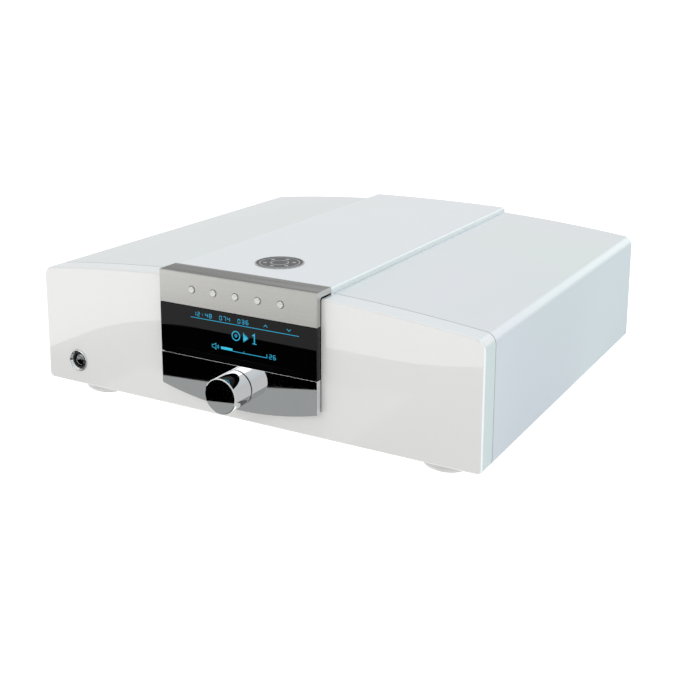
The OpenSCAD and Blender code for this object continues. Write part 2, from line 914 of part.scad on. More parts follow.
module spindle_motor() {
    color(steel) in_frame() difference() {
        union() {
            bar_z(0, disc_y, deck_z - 13, deck_z, 13);
            bar_z(0, disc_y, deck_z, deck_z + 3, 4);
        }
        bar_z(0, disc_y, deck_z - 11, deck_z + 4, 1 + running_fit);
    }
}

// Turntable with its centring cone and shaft
module turntable() {
    seat = path_z - 1.1;
    color(black) in_frame() translate([0, disc_y, 0]) {
        translate([0, 0, deck_z - 10]) cylinder(h = 16, r = 1);
        translate([0, 0, deck_z + 4]) cylinder(h = seat - deck_z - 5.8, r = 5);
        translate([0, 0, seat - 1.8]) cylinder(h = 1.8, r = 14);
        translate([0, 0, seat]) cylinder(h = 0.9, r1 = 7.4, r2 = 6.6);
    }
}

// Pickup carriage with bearings on both rods and a rack
module pickup_sled() {
    low = deck_z + 2.5;
    front = disc_y + 16;
    back = front + 22;
    color(steel) in_frame() difference() {
        union() {
            block([-rod_x - 3, front, low], [rack_x - 3.5, back, deck_z + 8.5]);
            block([-12, front + 3, deck_z - 3], [12, back - 3, low]);
            translate([0, 0, rod_z]) linear_extrude(2.5) rack();
        }
        both_sides() bar_y(rod_x, rod_z, 100, 250, rod_r + running_fit);
        bar_z(0, lens_y, deck_z + 4, deck_z + 10, 3.2);
    }
}

// Rack with a tooth gap facing the pinion's axis
module rack() {
    pitch = PI * rack_m;
    back = rack_x - 1.25 * rack_m;
    translate([rack_x - 3.5, sled_pinion_y - 41.5]) square([back - rack_x + 3.5, 48]);
    for (i = [-21:3]) translate([rack_x, sled_pinion_y + (i - 0.5) * pitch])
        rack_tooth(pitch / 4 - 0.06, rack_m);
}

// Trapezoid tooth pointing along X, half as wide as w at the pitch line
module rack_tooth(w, m) {
    slope = tan(20);
    polygon([
        [-1.3 * m, -w - 1.3 * m * slope],
        [0.9 * m, -w + 0.9 * m * slope],
        [0.9 * m, w - 0.9 * m * slope],
        [-1.3 * m, w + 1.3 * m * slope]
    ]);
}

// Objective lens in its sprung holder
module pickup_lens() {
    top = deck_z + 10.4;
    color([0.3, 0.35, 0.6]) in_frame() translate([0, lens_y, 0]) {
        translate([0, 0, top - 1.2]) cylinder(h = 1.2, r = 4);
        translate([0, 0, top - 4]) cylinder(h = 2.8, r = 2.9);
    }
}

module sled_motor() {
    color(steel) in_frame() difference() {
        bar_z(sled_pinion_x, sled_pinion_y, deck_z - 14, deck_z, 6);
        bar_z(sled_pinion_x, sled_pinion_y, deck_z - 12, deck_z + past, 1 + running_fit);
    }
}

module sled_pinion() {
    color(gold) in_frame() translate([sled_pinion_x, sled_pinion_y, 0]) {
        translate([0, 0, deck_z - 11]) cylinder(h = 20, r = 1);
        translate([0, 0, rod_z - 0.5]) linear_extrude(3.5) gear(sled_teeth, rack_m, 0);
    }
}

// Involute gear outline with one tooth on the line at angle turn
module gear(teeth, m, turn) {
    pitch_r = teeth * m / 2;
    base_r = pitch_r * cos(20);
    tip_r = pitch_r + 0.9 * m;
    root_r = pitch_r - 1.25 * m;
    half = 90 / teeth - gear_slack(pitch_r) + roll_angle(base_r, pitch_r);
    steps = 5;
    rise = [for (i = [0:steps]) max(base_r, root_r) + (tip_r - max(base_r, root_r)) * i / steps];
    flank = [for (r = rise) [r, half - roll_angle(base_r, r)]];
    foot = [[root_r, half - roll_angle(base_r, rise[0])]];
    side = concat(foot, flank);
    rotate(turn) polygon([
        for (t = [0:teeth - 1]) let (a = t * 360 / teeth) each concat(
            [for (p = side) polar(p[0], a - p[1])],
            [for (i = [len(side) - 1:-1:0]) polar(side[i][0], a + side[i][1])]
        )
    ]);
}

function polar(r, a) = [r * cos(a), r * sin(a)];

// Angle that makes room for backlash on each side of a tooth
function gear_slack(pitch_r) = 0.06 / pitch_r * 180 / PI;

// Polar angle of the involute of a base circle, at radius r
function roll_angle(base_r, r) = let (t = sqrt(max(pow(r / base_r, 2) - 1, 0))) t * 180 / PI - atan(t);

// Rubber roller with its shaft and gear
module loading_roller() {
    color(rubber) in_frame() {
        bar_x(roller_y, roller_z, -60, 60, roller_r);
        bar_x(roller_y, roller_z, -frame_x - 1, gear_x + gear_w, 1.5);
        translate([0, roller_y, roller_z]) along_x(gear_x, gear_x + gear_w)
            gear(roller_teeth, roller_m, gear_angle);
    }
}

module loading_pinion() {
    color(gold) in_frame() translate([0, load_motor_y, load_motor_z]) {
        along_x(gear_x, gear_x + gear_w) gear(motor_teeth, roller_m, gear_angle + 180 + 180 / motor_teeth);
        bar_x(0, 0, frame_x - 14, gear_x, 1);
    }
}

module loading_motor() {
    color(steel) in_frame() difference() {
        bar_x(load_motor_y, load_motor_z, frame_x - 18, frame_x - frame_t, 5.3);
        bar_x(load_motor_y, load_motor_z, frame_x - 15, frame_x + past, 1 + running_fit);
    }
}

fascia();
left_cover();
right_cover();
centre_cover();
base_plate();
rear_panel();
front_subframe();
control_band();
display_glass();
chrome_plate();
panel_carrier();
slot_guide();
display_module();
button_board();
button(1);  // button_1
button(2);  // button_2
button(3);  // button_3
button(4);  // button_4
button(5);  // button_5
knob();
encoder_shaft();
encoder_body();
power_ring();
power_sleeve();
power_button();
power_switch();
emblem();
feet();
foot_pads();
foot_screws();
case_screws();
toroidal_transformer();
transformer_clamp();
transformer_bolt();
psu_board();
psu_capacitors();
heatsink();
main_board();
board_spacers();
power_entry();
mains_rocker();
rca_sockets();
xlr_sockets();
digital_sockets();
transport_frame();
transport_dampers();
clamp_bridge();
clamp_puck();
lift_slide();
traverse_plate();
spindle_motor();
turntable();
pickup_sled();
pickup_lens();
guide_rods();
sled_motor();
sled_pinion();
loading_roller();
loading_pinion();
loading_motor();
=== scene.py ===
"""White full-width disc player: the looks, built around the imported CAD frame.

Shapes are written in case millimetres and placed in the row frame, in metres, by placed().
"""
import math

import bpy
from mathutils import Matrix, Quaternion, Vector
from mathutils.geometry import tessellate_polygon


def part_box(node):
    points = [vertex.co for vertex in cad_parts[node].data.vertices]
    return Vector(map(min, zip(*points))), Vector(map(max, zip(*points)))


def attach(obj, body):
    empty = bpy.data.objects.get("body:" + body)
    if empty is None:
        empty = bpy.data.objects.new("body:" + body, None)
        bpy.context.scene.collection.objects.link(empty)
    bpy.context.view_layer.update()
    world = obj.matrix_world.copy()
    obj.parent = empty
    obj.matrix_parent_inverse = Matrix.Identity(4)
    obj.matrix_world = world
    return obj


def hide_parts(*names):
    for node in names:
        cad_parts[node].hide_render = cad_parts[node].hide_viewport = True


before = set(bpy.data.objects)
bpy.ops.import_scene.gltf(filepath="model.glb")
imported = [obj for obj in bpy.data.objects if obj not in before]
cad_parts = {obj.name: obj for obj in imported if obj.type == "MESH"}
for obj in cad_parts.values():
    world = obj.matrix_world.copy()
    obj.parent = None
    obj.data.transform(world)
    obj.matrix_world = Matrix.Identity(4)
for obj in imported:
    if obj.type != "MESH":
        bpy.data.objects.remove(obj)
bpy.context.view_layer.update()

MM = 0.001
# Case coordinates: Y from the fascia's front face, Z from the case's underside
BASE = Vector((0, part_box("fascia")[0].y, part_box("fascia")[0].z))
COLLECTION = bpy.context.scene.collection

CASE_W, CASE_D = 445, 400
CROWN_Z, CROWN_R = 122.3, 1780                                # bowed top: height at the middle, radius
TOP_R, BOTTOM_R, WALL = 9.5, 4.5, 3.5                         # edges of the covers, and their thickness
FASCIA_T, COVER_Y = 20.3, 20.9                                # back of the fascia, front of the covers
REAR_Y = 396.5                                                # outer face of the rear panel
PANEL_X, PANEL_OUT, PANEL_BACK = 79.5, 7.2, -0.7              # centre panel: half width, front, back
BAND_TOP, BAND_BOTTOM, SEAM_Z = 127.0, 97.8, 52.6             # heights of the band and of the seam below the glass
GLASS_NOTCH, SLOT_Z = 58.0, (55.35, 55.65)                    # top of the slot's recess, and the disc slot in it
CENTRE_R, SEAT_Z = 2900, 120.5                                # centre strip: radius, and the seat it stands on
KNOB_R, KNOB_Z, KNOB_FACE, KNOB_BACK = 15.7, 32.5, -31.7, -8.0
BUTTON_Z, BUTTON_PITCH, BUTTON_R = 112.6, 22.5, 3.0
POWER_X, POWER_Z = -185, 22.5
EMBLEM_Y, EMBLEM_R, EMBLEM_TOP = 62, 22, 127.2
FOOT_X, FOOT_Y, FOOT_R, FOOT_H = 179, 37, 23, 13
PHONO_X = {"ring_right": 110, "ring_left": 150, "ring_coaxial": 60}
PHONO_Z, BALANCED_Z = 42, 80
INLET_X = -150


def placed(point):
    """A point in case millimetres as a point of the row frame, in metres."""
    return point * MM + BASE


# ---------------------------------------------------------------- outlines

CORNER_STEP = math.radians(12)


def arc(cx, cy, r, a0, a1, n):
    """Points on a circle from angle a0 to a1, in degrees."""
    steps = [math.radians(a0 + (a1 - a0) * i / n) for i in range(n + 1)]
    return [Vector((cx + r * math.cos(a), cy + r * math.sin(a))) for a in steps]


def rounded(points, closed=True):
    """Points (x, y, r) with each corner replaced by an arc of radius r."""
    out, n = [], len(points)
    for i, (x, y, r) in enumerate(points):
        p = Vector((x, y))
        if r <= 0 or (not closed and i in (0, n - 1)):
            out.append(p)
            continue
        a = Vector(points[i - 1][:2]) - p
        b = Vector(points[(i + 1) % n][:2]) - p
        a.normalize(); b.normalize()
        half = a.angle(b) / 2
        if half > math.pi / 2 - 0.01:  # hardly a corner
            out.append(p)
            continue
        reach = r / math.tan(half)
        centre = p + (a + b).normalized() * (r / math.sin(half))
        start, end = p + a * reach - centre, p + b * reach - centre
        turn = start.angle_signed(end)
        steps = max(3, round(abs(turn) / CORNER_STEP))
        base = math.atan2(start.y, start.x)
        for k in range(steps + 1):
            t = base - turn * k / steps
            out.append(centre + Vector((math.cos(t), math.sin(t))) * r)
    return out


def circle_hole(x, z, r, n=64):
    """A clockwise circle."""
    return arc(x, z, r, 360, 360 / n, n - 1)


def box_hole(x0, x1, z0, z1, r):
    """A clockwise box with rounded corners."""
    return rounded([(x0, z0, r), (x0, z1, r), (x1, z1, r), (x1, z0, r)])


def box_loop(x0, x1, z0, z1, r):
    """A counterclockwise box with rounded corners."""
    return rounded([(x1, z0, r), (x1, z1, r), (x0, z1, r), (x0, z0, r)])


def open_line(*points):
    """A profile for lathe with rounded corners. A point without a radius stays sharp."""
    return rounded([(*p, 0) if len(p) == 2 else p for p in points], closed=False)


def edge_normals(loop, closed=True):
    """Each vertex's right-hand normal, weighted by edge length, and the mitre to move it by."""
    n = len(loop)
    normals, mitres = [], []
    for i in range(n):
        edges = []
        if closed or i > 0:
            edges.append(loop[i] - loop[i - 1])
        if closed or i < n - 1:
            edges.append(loop[(i + 1) % n] - loop[i])
        units = [Vector((e.y, -e.x)).normalized() for e in edges if e.length > 1e-9]
        total = sum((Vector((e.y, -e.x)) for e in edges), Vector((0, 0)))
        normals.append(total.normalized())
        both = sum(units, Vector((0, 0)))
        if len(units) == 2:
            both /= 1 + max(units[0].dot(units[1]), -0.7)  # no long spike at a sharp corner
        mitres.append(both)
    return normals, mitres


class Shell:
    """A mesh in the making: points in case millimetres, a normal for each, and faces."""

    def __init__(self):
        self.points, self.normals, self.faces = [], [], []

    def ring(self, points, normals):
        start = len(self.points)
        self.points += points
        self.normals += normals
        return list(range(start, start + len(points)))

    def bridge(self, a, b, closed=True):
        n = len(a)
        for i in range(n if closed else n - 1):
            j = (i + 1) % n
            self.add((a[i], a[j], b[j], b[i]))

    def add(self, face):
        pts = [self.points[i] for i in face]
        flat = (pts[1] - pts[0]).cross(pts[-1] - pts[0])
        if flat.length < 1e-12:
            flat = (pts[2] - pts[1]).cross(pts[-1] - pts[1])
        lean = sum((self.normals[i] for i in face), Vector((0, 0, 0)))
        self.faces.append(face if flat.dot(lean) >= 0 else tuple(reversed(face)))

    def fill(self, loops):
        flat = [i for loop in loops for i in loop]
        for tri in tessellate_polygon([[self.points[i] for i in loop] for loop in loops]):
            self.add(tuple(flat[k] for k in tri))

    def build(self, name, material, others=(), chosen=None):
        """chosen(normal) gives each face's material: 0 the first, 1 and up the others."""
        mesh = bpy.data.meshes.new(name)
        mesh.from_pydata([placed(p) for p in self.points], [], self.faces)
        mesh.polygons.foreach_set("use_smooth", [True] * len(mesh.polygons))
        mesh.normals_split_custom_set_from_vertices([n.normalized() for n in self.normals])
        mesh.update()
        obj = bpy.data.objects.new(name, mesh)
        COLLECTION.objects.link(obj)
        obj.data.materials.append(material)
        for other in others:
            obj.data.materials.append(other)
        if chosen:
            for face in mesh.polygons:
                face.material_index = int(chosen(face.normal))
        return obj


def turned(axis, u, v, w):
    """The point or direction with w along the axis and u, v across it."""
    return {"x": Vector((w, u, v)), "y": Vector((u, w, v)), "z": Vector((u, v, w))}[axis]


def prism(shell, axis, loop, lo, hi, lo_edge=0.0, hi_edge=0.0, holes=(), hole_edge=0.2, steps=4):
    """Extrudes a counterclockwise outline and clockwise holes along an axis, with rounded end edges."""
    ends = {"lo": [], "hi": []}
    for k, points in enumerate([loop, *holes]):
        a, b = (lo_edge, hi_edge) if k == 0 else (min(lo_edge, hole_edge), min(hi_edge, hole_edge))
        normals, mitres = edge_normals(points)
        rows = []
        for edge, start, way in ((a, lo, 1), (b, hi, -1)):
            side = []
            for s in range(steps + 1 if edge > 0 else 1):
                t = math.radians(90 * s / steps) if edge > 0 else math.radians(45)
                inset = edge * (1 - math.sin(t)) if edge > 0 else 0
                depth = edge * (1 - math.cos(t)) if edge > 0 else 0
                pts = [p - m * inset for p, m in zip(points, mitres)]
                lean = [turned(axis, n.x * math.sin(t), n.y * math.sin(t), -way * math.cos(t)) for n in normals]
                side.append(shell.ring([turned(axis, p.x, p.y, start + way * depth) for p in pts], lean))
            rows += side if way == 1 else side[::-1]
            ends["lo" if way == 1 else "hi"].append(side[0])
        for a_row, b_row in zip(rows, rows[1:]):
            shell.bridge(a_row, b_row)
    shell.fill(ends["lo"])
    shell.fill(ends["hi"])


def lathe(shell, axis, centre, profile, segments=96):
    """Turns an open profile of (radius, height) round an axis through centre."""
    normals, _ = edge_normals(profile, closed=False)
    rows = []
    for p, n in zip(profile, normals):
        if p.x < 1e-6:
            tip = turned(axis, 0, 0, 1 if n.y > 0 else -1)
            rows.append(shell.ring([centre + turned(axis, 0, 0, p.y)], [tip]))
            continue
        angles = [2 * math.pi * i / segments for i in range(segments)]
        rows.append(shell.ring(
            [centre + turned(axis, p.x * math.cos(a), p.x * math.sin(a), p.y) for a in angles],
            [turned(axis, n.x * math.cos(a), n.x * math.sin(a), n.y) for a in angles],
        ))
    for a, b in zip(rows, rows[1:]):
        if len(a) == 1 or len(b) == 1:
            tip, rim = (a, b) if len(a) == 1 else (b, a)
            for i in range(segments):
                shell.add((tip[0], rim[i], rim[(i + 1) % segments]))
        else:
            shell.bridge(a, b)


# ---------------------------------------------------------------- materials

def graph(name):
    material = bpy.data.materials.new(name)
    material.use_nodes = True
    tree = material.node_tree
    shader = tree.nodes["Principled BSDF"]
    return material, tree, shader


def noise(tree, scale, detail=2.0, stretch=(1, 1, 1), rough=0.5):
    """A noise texture in object coordinates. scale is in waves per metre."""
    coords = tree.nodes.new("ShaderNodeTexCoord")
    mapping = tree.nodes.new("ShaderNodeMapping")
    mapping.inputs["Scale"].default_value = stretch
    texture = tree.nodes.new("ShaderNodeTexNoise")
    texture.inputs["Scale"].default_value = scale
    texture.inputs["Detail"].default_value = detail
    texture.inputs["Roughness"].default_value = rough
    tree.links.new(coords.outputs["Object"], mapping.inputs["Vector"])
    tree.links.new(mapping.outputs["Vector"], texture.inputs["Vector"])
    return texture.outputs["Fac"]


def spread(tree, factor, low, high, start=0.35, end=0.65):
    """Maps a noise factor to a range."""
    node = tree.nodes.new("ShaderNodeMapRange")
    node.inputs["From Min"].default_value = start
    node.inputs["From Max"].default_value = end
    node.inputs["To Min"].default_value = low
    node.inputs["To Max"].default_value = high
    tree.links.new(factor, node.inputs["Value"])
    return node.outputs["Result"]


def product(tree, a, b):
    node = tree.nodes.new("ShaderNodeMath")
    node.operation = "MULTIPLY"
    tree.links.new(a, node.inputs[0])
    tree.links.new(b, node.inputs[1])
    return node.outputs[0]


def blend_colours(tree, factor, a, b):
    node = tree.nodes.new("ShaderNodeMix")
    node.data_type = "RGBA"
    node.inputs["A"].default_value = (*a, 1)
    node.inputs["B"].default_value = (*b, 1)
    tree.links.new(factor, node.inputs["Factor"])
    return node.outputs["Result"]


def bump(tree, shader, height, distance, strength=1.0):
    node = tree.nodes.new("ShaderNodeBump")
    node.inputs["Strength"].default_value = strength
    node.inputs["Distance"].default_value = distance
    tree.links.new(height, node.inputs["Height"])
    tree.links.new(node.outputs["Normal"], shader.inputs["Normal"])


def shade(colour, k):
    return tuple(min(1, c * k) for c in colour)


def finish(name, colour, rough, tint, scale, metallic=0.0, detail=3.0, stretch=(1, 1, 1), relief=0.0,
           relief_scale=None, ior=1.5, coat=0.0, coat_rough=0.03, coat_ior=1.5, second=None):
    """A procedural finish: colour and roughness vary with one noise, and the relief with another.

    rough is the range of roughness, tint the share by which the colour varies, relief the bump's depth in metres,
    and scale is in waves per metre. With a second colour the finish wanders between the two.
    """
    material, tree, shader = graph(name)
    factor = noise(tree, scale, detail, stretch)
    low, high = shade(colour, 1 - tint), shade(second or colour, 1 + tint)
    tree.links.new(blend_colours(tree, spread(tree, factor, 0, 1), low, high), shader.inputs["Base Color"])
    tree.links.new(spread(tree, factor, *rough), shader.inputs["Roughness"])
    shader.inputs["Metallic"].default_value = metallic
    shader.inputs["IOR"].default_value = ior
    shader.inputs["Coat Weight"].default_value = coat
    shader.inputs["Coat Roughness"].default_value = coat_rough
    shader.inputs["Coat IOR"].default_value = coat_ior
    if relief:
        bump(tree, shader, noise(tree, relief_scale or scale, detail, stretch), relief)
    return material


def lacquered(name, colour, second=None, tint=0.006, scale=6, coat_ior=1.65):
    """Polished lacquer: a pale coat with a very fine orange peel under a clear glossy one."""
    return finish(name, colour, (0.28, 0.34), tint, scale, relief=0.000006, relief_scale=700, coat=1.0,
                  coat_rough=0.015, coat_ior=coat_ior, second=second)


def brushed(name, colour, rough, tint):
    """Metal brushed along X."""
    return finish(name, colour, rough, tint, 900, metallic=1, stretch=(0.012, 1, 1), relief=0.00001)


def glow(name, colour, strength):
    """Lit display segments: emission with a slight change of brightness along them."""
    material, tree, shader = graph(name)
    colours = blend_colours(tree, noise(tree, 900, 1), shade(colour, 0.85), shade(colour, 1.1))
    tree.links.new(colours, shader.inputs["Emission Color"])
    shader.inputs["Base Color"].default_value = (0.0, 0.02, 0.025, 1)
    shader.inputs["Emission Strength"].default_value = strength
    shader.inputs["Roughness"].default_value = 0.05
    return material


MAT = {
    # lacquer: the first is the lacquer's own colour, the others are painted light and shade, a tint of its own on
    # each side of the case for how the light falls there
    "lacquer": lacquered("white_lacquer", (0.725, 0.72, 0.705), tint=0.008, scale=9, coat_ior=1.6),
    # painted light: a lighter, cooler tint for the fascia's top faces
    "painted_top_light": lacquered("painted_top_light_lacquer", (0.735, 0.765, 0.785), scale=9),
    # painted highlight: a pale tint for the fascia's right front rounded edge
    "edge": lacquered("right_edge_painted_highlight_lacquer", (0.88, 0.905, 0.91), scale=9),
    # painted shade: a darker, cooler tint for the fascia's side faces
    "side_painted_shade": lacquered("side_painted_shade_lacquer", (0.655, 0.73, 0.715)),
    # painted shade: a darker, cooler tint for the whole right cover, top and side
    "cover": lacquered("cover_painted_shade_lacquer", (0.655, 0.715, 0.715), second=(0.675, 0.695, 0.735)),
    # painted shade: a darker, greener tint for the whole left cover
    "left": lacquered("left_painted_shade_lacquer", (0.625, 0.685, 0.68), second=(0.645, 0.675, 0.70)),
    # painted light: a cooler tint for the top of the centre strip
    "strip": lacquered("strip_painted_light_lacquer", (0.70, 0.74, 0.765), second=(0.71, 0.735, 0.78)),
    # painted highlight: a paler tint for the centre strip's sides and rounded edges
    "ridge": lacquered("ridge_painted_highlight_lacquer", (0.83, 0.885, 0.88)),
    "rear": finish("rear_paint", (0.45, 0.455, 0.455), (0.35, 0.45), 0.02, 60, relief=0.00001, relief_scale=1400),
    "foot": finish("foot_lacquer", (0.53, 0.535, 0.53), (0.25, 0.35), 0.03, 80, coat=0.6, relief=0.000005,
                   relief_scale=900),
    # metal
    "brushed": brushed("brushed_aluminium", (0.53, 0.525, 0.505), (0.30, 0.40), 0.05),
    # painted reflection: a darker brushed finish for the top faces of the band's flange
    "flange": brushed("brushed_flange_painted_reflection", (0.27, 0.27, 0.265), (0.26, 0.36), 0.10),
    "button": finish("button_metal", (0.63, 0.63, 0.61), (0.22, 0.30), 0.03, 900, metallic=1, relief=0.000004),
    "chrome": finish("polished_chrome", (0.86, 0.87, 0.88), (0.02, 0.045), 0.01, 40, metallic=1, relief=0.000002,
                     relief_scale=120),
    "cap": finish("grey_cap", (0.20, 0.21, 0.21), (0.10, 0.18), 0.25, 500, metallic=1, relief=0.00008,
                  relief_scale=260),
    "badge_rim": finish("badge_rim", (0.42, 0.43, 0.44), (0.18, 0.28), 0.08, 500, metallic=1),
    "steel": finish("zinc_plated_steel", (0.55, 0.56, 0.57), (0.28, 0.45), 0.08, 130, metallic=1, relief=0.000008,
                    relief_scale=500),
    "anodised": finish("black_anodised", (0.02, 0.02, 0.022), (0.35, 0.45), 0.15, 250, metallic=0.9,
                       relief=0.00001, relief_scale=900),
    "gold": finish("gold_plate", (0.75, 0.52, 0.20), (0.14, 0.25), 0.06, 200, metallic=1, relief=0.000004,
                   relief_scale=700),
    # glass, plastic, rubber and the rest
    "glass": finish("display_glass", (0.0006, 0.0006, 0.0006), (0.01, 0.03), 0.2, 25, ior=1.27),
    "lens": finish("lens_glass", (0.05, 0.08, 0.30), (0.02, 0.05), 0.2, 500, coat=1.0),
    "black": finish("black_plastic", (0.018, 0.018, 0.019), (0.38, 0.5), 0.12, 300, relief=0.00002,
                    relief_scale=1800),
    "badge": finish("badge_face", (0.02, 0.021, 0.023), (0.30, 0.42), 0.2, 700, relief=0.00001),
    "red": finish("red_insulator", (0.45, 0.02, 0.02), (0.25, 0.35), 0.08, 400),
    "white": finish("white_insulator", (0.7, 0.7, 0.68), (0.25, 0.35), 0.04, 400),
    "felt": finish("dust_felt", (0.002, 0.002, 0.002), (0.85, 0.95), 0.3, 2500, relief=0.0001, relief_scale=4000,
                   ior=1.0),
    "gasket": finish("seam_gasket", (0.20, 0.20, 0.20), (0.5, 0.6), 0.2, 500, relief=0.00001),
    "rubber": finish("rubber", (0.02, 0.02, 0.02), (0.6, 0.8), 0.2, 300, relief=0.00003, relief_scale=1500),
    "pad": finish("pale_rubber", (0.35, 0.35, 0.345), (0.6, 0.8), 0.1, 300, relief=0.00003, relief_scale=1500),
    "board": finish("circuit_board", (0.01, 0.09, 0.035), (0.25, 0.4), 0.35, 450, stretch=(1, 0.15, 1),
                    relief=0.00002, coat=0.3),
    "tape": finish("winding_tape", (0.34, 0.20, 0.035), (0.3, 0.45), 0.25, 300, stretch=(1, 1, 0.2), relief=0.0001),
    "sleeve": finish("capacitor_sleeve", (0.02, 0.03, 0.09), (0.2, 0.3), 0.15, 60, relief=0.00001,
                     relief_scale=600),
    "glow": glow("display_segments", (0.006, 0.36, 0.58), 1.05),
    "glow_bright": glow("display_bar", (0.02, 0.50, 0.72), 1.0),
}


def piece(shell, name, finish_name, body, *nodes, others=(), chosen=None):
    """Makes a shell a piece that rides on a body and stands for CAD nodes."""
    obj = shell.build(name, MAT[finish_name], [MAT[o] for o in others], chosen)
    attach(obj, body)
    if nodes:
        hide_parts(*nodes)
    return obj


# ---------------------------------------------------------------- lacquered case

def crown(half, inset):
    """Centre and lean of the arc between a side and the crown."""
    r, big = TOP_R - inset, CROWN_R - inset
    xc = half - r
    lean = math.asin(xc / (big - r))
    return r, big, xc, lean, CROWN_Z - CROWN_R + (big - r) * math.cos(lean)


def crown_height(x, inset=0.0):
    return CROWN_Z - CROWN_R + math.sqrt((CROWN_R - inset) ** 2 - x * x)


def case_loop():
    """Outer outline of the case in X and Z, counterclockwise from the bottom right."""
    half = CASE_W / 2
    r, big, xc, lean, zc = crown(half, 0)
    a = 90 - math.degrees(lean)
    b = BOTTOM_R
    loop = arc(half - b, b, b, -90, 0, 8)
    loop += arc(xc, zc, r, 0, a, 14)
    top = arc(0, CROWN_Z - CROWN_R, big, a, 180 - a, 96)[1:-1]
    seat = [Vector((side * (PANEL_X + 0.4), SEAT_Z)) for side in (1, -1)]
    loop += [p for p in top if p.x > PANEL_X + 1] + seat + [p for p in top if p.x < -PANEL_X - 1]
    loop += arc(-xc, zc, r, 180 - a, 180, 14)
    loop += arc(-half + b, b, b, 180, 270, 8)
    return loop


def make_fascia():
    """Front plate. Its top is painted lighter, its sides are painted with a darker cool shade, and its right front
    edge has a pale painted highlight.
    """
    shell = Shell()
    holes = [box_hole(-74, 74, 24, 118, 2), circle_hole(POWER_X, POWER_Z, 10.1)]
    prism(shell, "y", case_loop(), 0, FASCIA_T, 2.0, 0.35, holes, hole_edge=0.3, steps=8)

    # Painted light and shade by face direction: 1 is the lighter painted top, 2 the darker painted shade of the
    # sides, 3 the painted highlight on the right front edge only; 0 keeps the lacquer's own colour at the front
    def tint(n):
        if n.z > 0.8:
            return 1
        if abs(n.x) > 0.9:
            return 2
        return 3 if n.x > 0.3 and n.y < -0.3 else 0

    piece(shell, "fascia_shell", "lacquer", "case", "fascia", others=["painted_top_light", "side_painted_shade", "edge"], chosen=tint)


def cover_loop():
    """Right cover's section: the outer face, the ridge under the centre strip, the inner face and the bottom lip."""
    half, tip, inner = CASE_W / 2, CASE_W / 2 - 18, PANEL_X - 6
    r, big, xc, lean, zc = crown(half, 0)
    a = 90 - math.degrees(lean)
    end = math.degrees(math.acos(inner / big))
    outer = arc(half - BOTTOM_R, BOTTOM_R, BOTTOM_R, -90, 0, 8) + arc(xc, zc, r, 0, a, 14)
    outer += arc(0, CROWN_Z - CROWN_R, big, a, end, 40)[1:-1]
    r2, big2, xc2, lean2, zc2 = crown(half - WALL, WALL)
    a2 = 90 - math.degrees(lean2)
    back = arc(0, CROWN_Z - CROWN_R, big2, math.degrees(math.acos(inner / big2)), a2, 40)[1:]
    back += arc(xc2, zc2, r2, a2, 0, 8)[1:] + arc(half - WALL - 1, WALL + 1, 1, 0, -90, 4)
    high, low, e = crown_height(inner), crown_height(inner, WALL), 0.5
    ridge = [Vector(p) for p in ((inner + e, high), (inner, high - e), (inner, low + e), (inner + e, low))]
    lip = [Vector(p) for p in ((tip + e, WALL), (tip, WALL - e), (tip, e), (tip + e, 0))]
    return outer + ridge + back + lip


def make_cover(side, name, node, look):
    """One side cover, with side 1 on the right and -1 on the left."""
    shell = Shell()
    loop = cover_loop()
    if side < 0:
        loop = [Vector((-p.x, p.y)) for p in reversed(loop)]
    prism(shell, "y", loop, COVER_Y, CASE_D, 0.5, 0.9, steps=5)
    piece(shell, name, look, "case", node)


def make_seam():
    """Dark gasket in the joint behind the fascia."""
    shell = Shell()
    loop = case_loop()
    _, mitres = edge_normals(loop)
    outer, inner = ([p - m * inset for p, m in zip(loop, mitres)] for inset in (0.12, 1.5))
    front, back = FASCIA_T - 0.4, COVER_Y + 0.5
    rows = []
    for y, points, way in ((front, inner, -1), (front, outer, 1), (back, outer, 1), (back, inner, -1)):
        rows.append(shell.ring([Vector((p.x, y, p.y)) for p in points],
                               [Vector((m.x, 0, m.y)) * way for m in mitres]))
    for a, b in zip(rows, rows[1:] + rows[:1]):
        shell.bridge(a, b)
    piece(shell, "seam_gasket", "gasket", "case")


def centre_loop():
    """Section of the raised centre strip, an open shell that stands on the covers."""
    def height(x, inset):
        return BAND_TOP - CENTRE_R + math.sqrt((CENTRE_R - inset) ** 2 - x * x)
    x, low, inner = PANEL_X, crown_height(PANEL_X) - 0.15, PANEL_X - WALL
    top = [Vector((t, height(t, 0))) for t in [x - 3 - (2 * x - 6) * i / 48 for i in range(49)]]
    right = [Vector((x - 0.3, low)), Vector((x, low + 0.3))] + rounded(
        [(x, low + 1, 0), (x, height(x, 0), 1.6), (top[0].x, top[0].y, 0)], closed=False)[1:-1]
    left = [Vector((-p.x, p.y)) for p in reversed(right)]
    inside = [Vector((t, height(t, WALL))) for t in [-inner + 0.6 + 2 * (inner - 0.6) * i / 32 for i in range(33)]]
    foot = crown_height(inner) + 0.1
    left_leg = [Vector((-inner - 0.3, foot)), Vector((-inner, foot + 0.3)), Vector((-inner, inside[0].y - 0.6))]
    right_leg = [Vector((-p.x, p.y)) for p in reversed(left_leg)]
    return right + top + left + left_leg + inside + right_leg


def make_centre_cover():
    """Centre strip, with the plug that closes its front end under the band's flange. Its sides are painted paler, a
    painted highlight.
    """
    shell = Shell()
    prism(shell, "y", centre_loop(), 16.4, CASE_D, 0.35, 0.9, steps=5)
    prism(shell, "y", box_loop(-PANEL_X + 4, PANEL_X - 4, SEAT_Z + 0.3, 124.5, 0.3), 16.6, 20.4)
    # Faces that lean sideways get the paler tint, a painted highlight
    piece(shell, "centre_strip", "strip", "case", "centre_cover", others=["ridge"],
          chosen=lambda n: abs(n.x) > 0.35)


make_fascia()
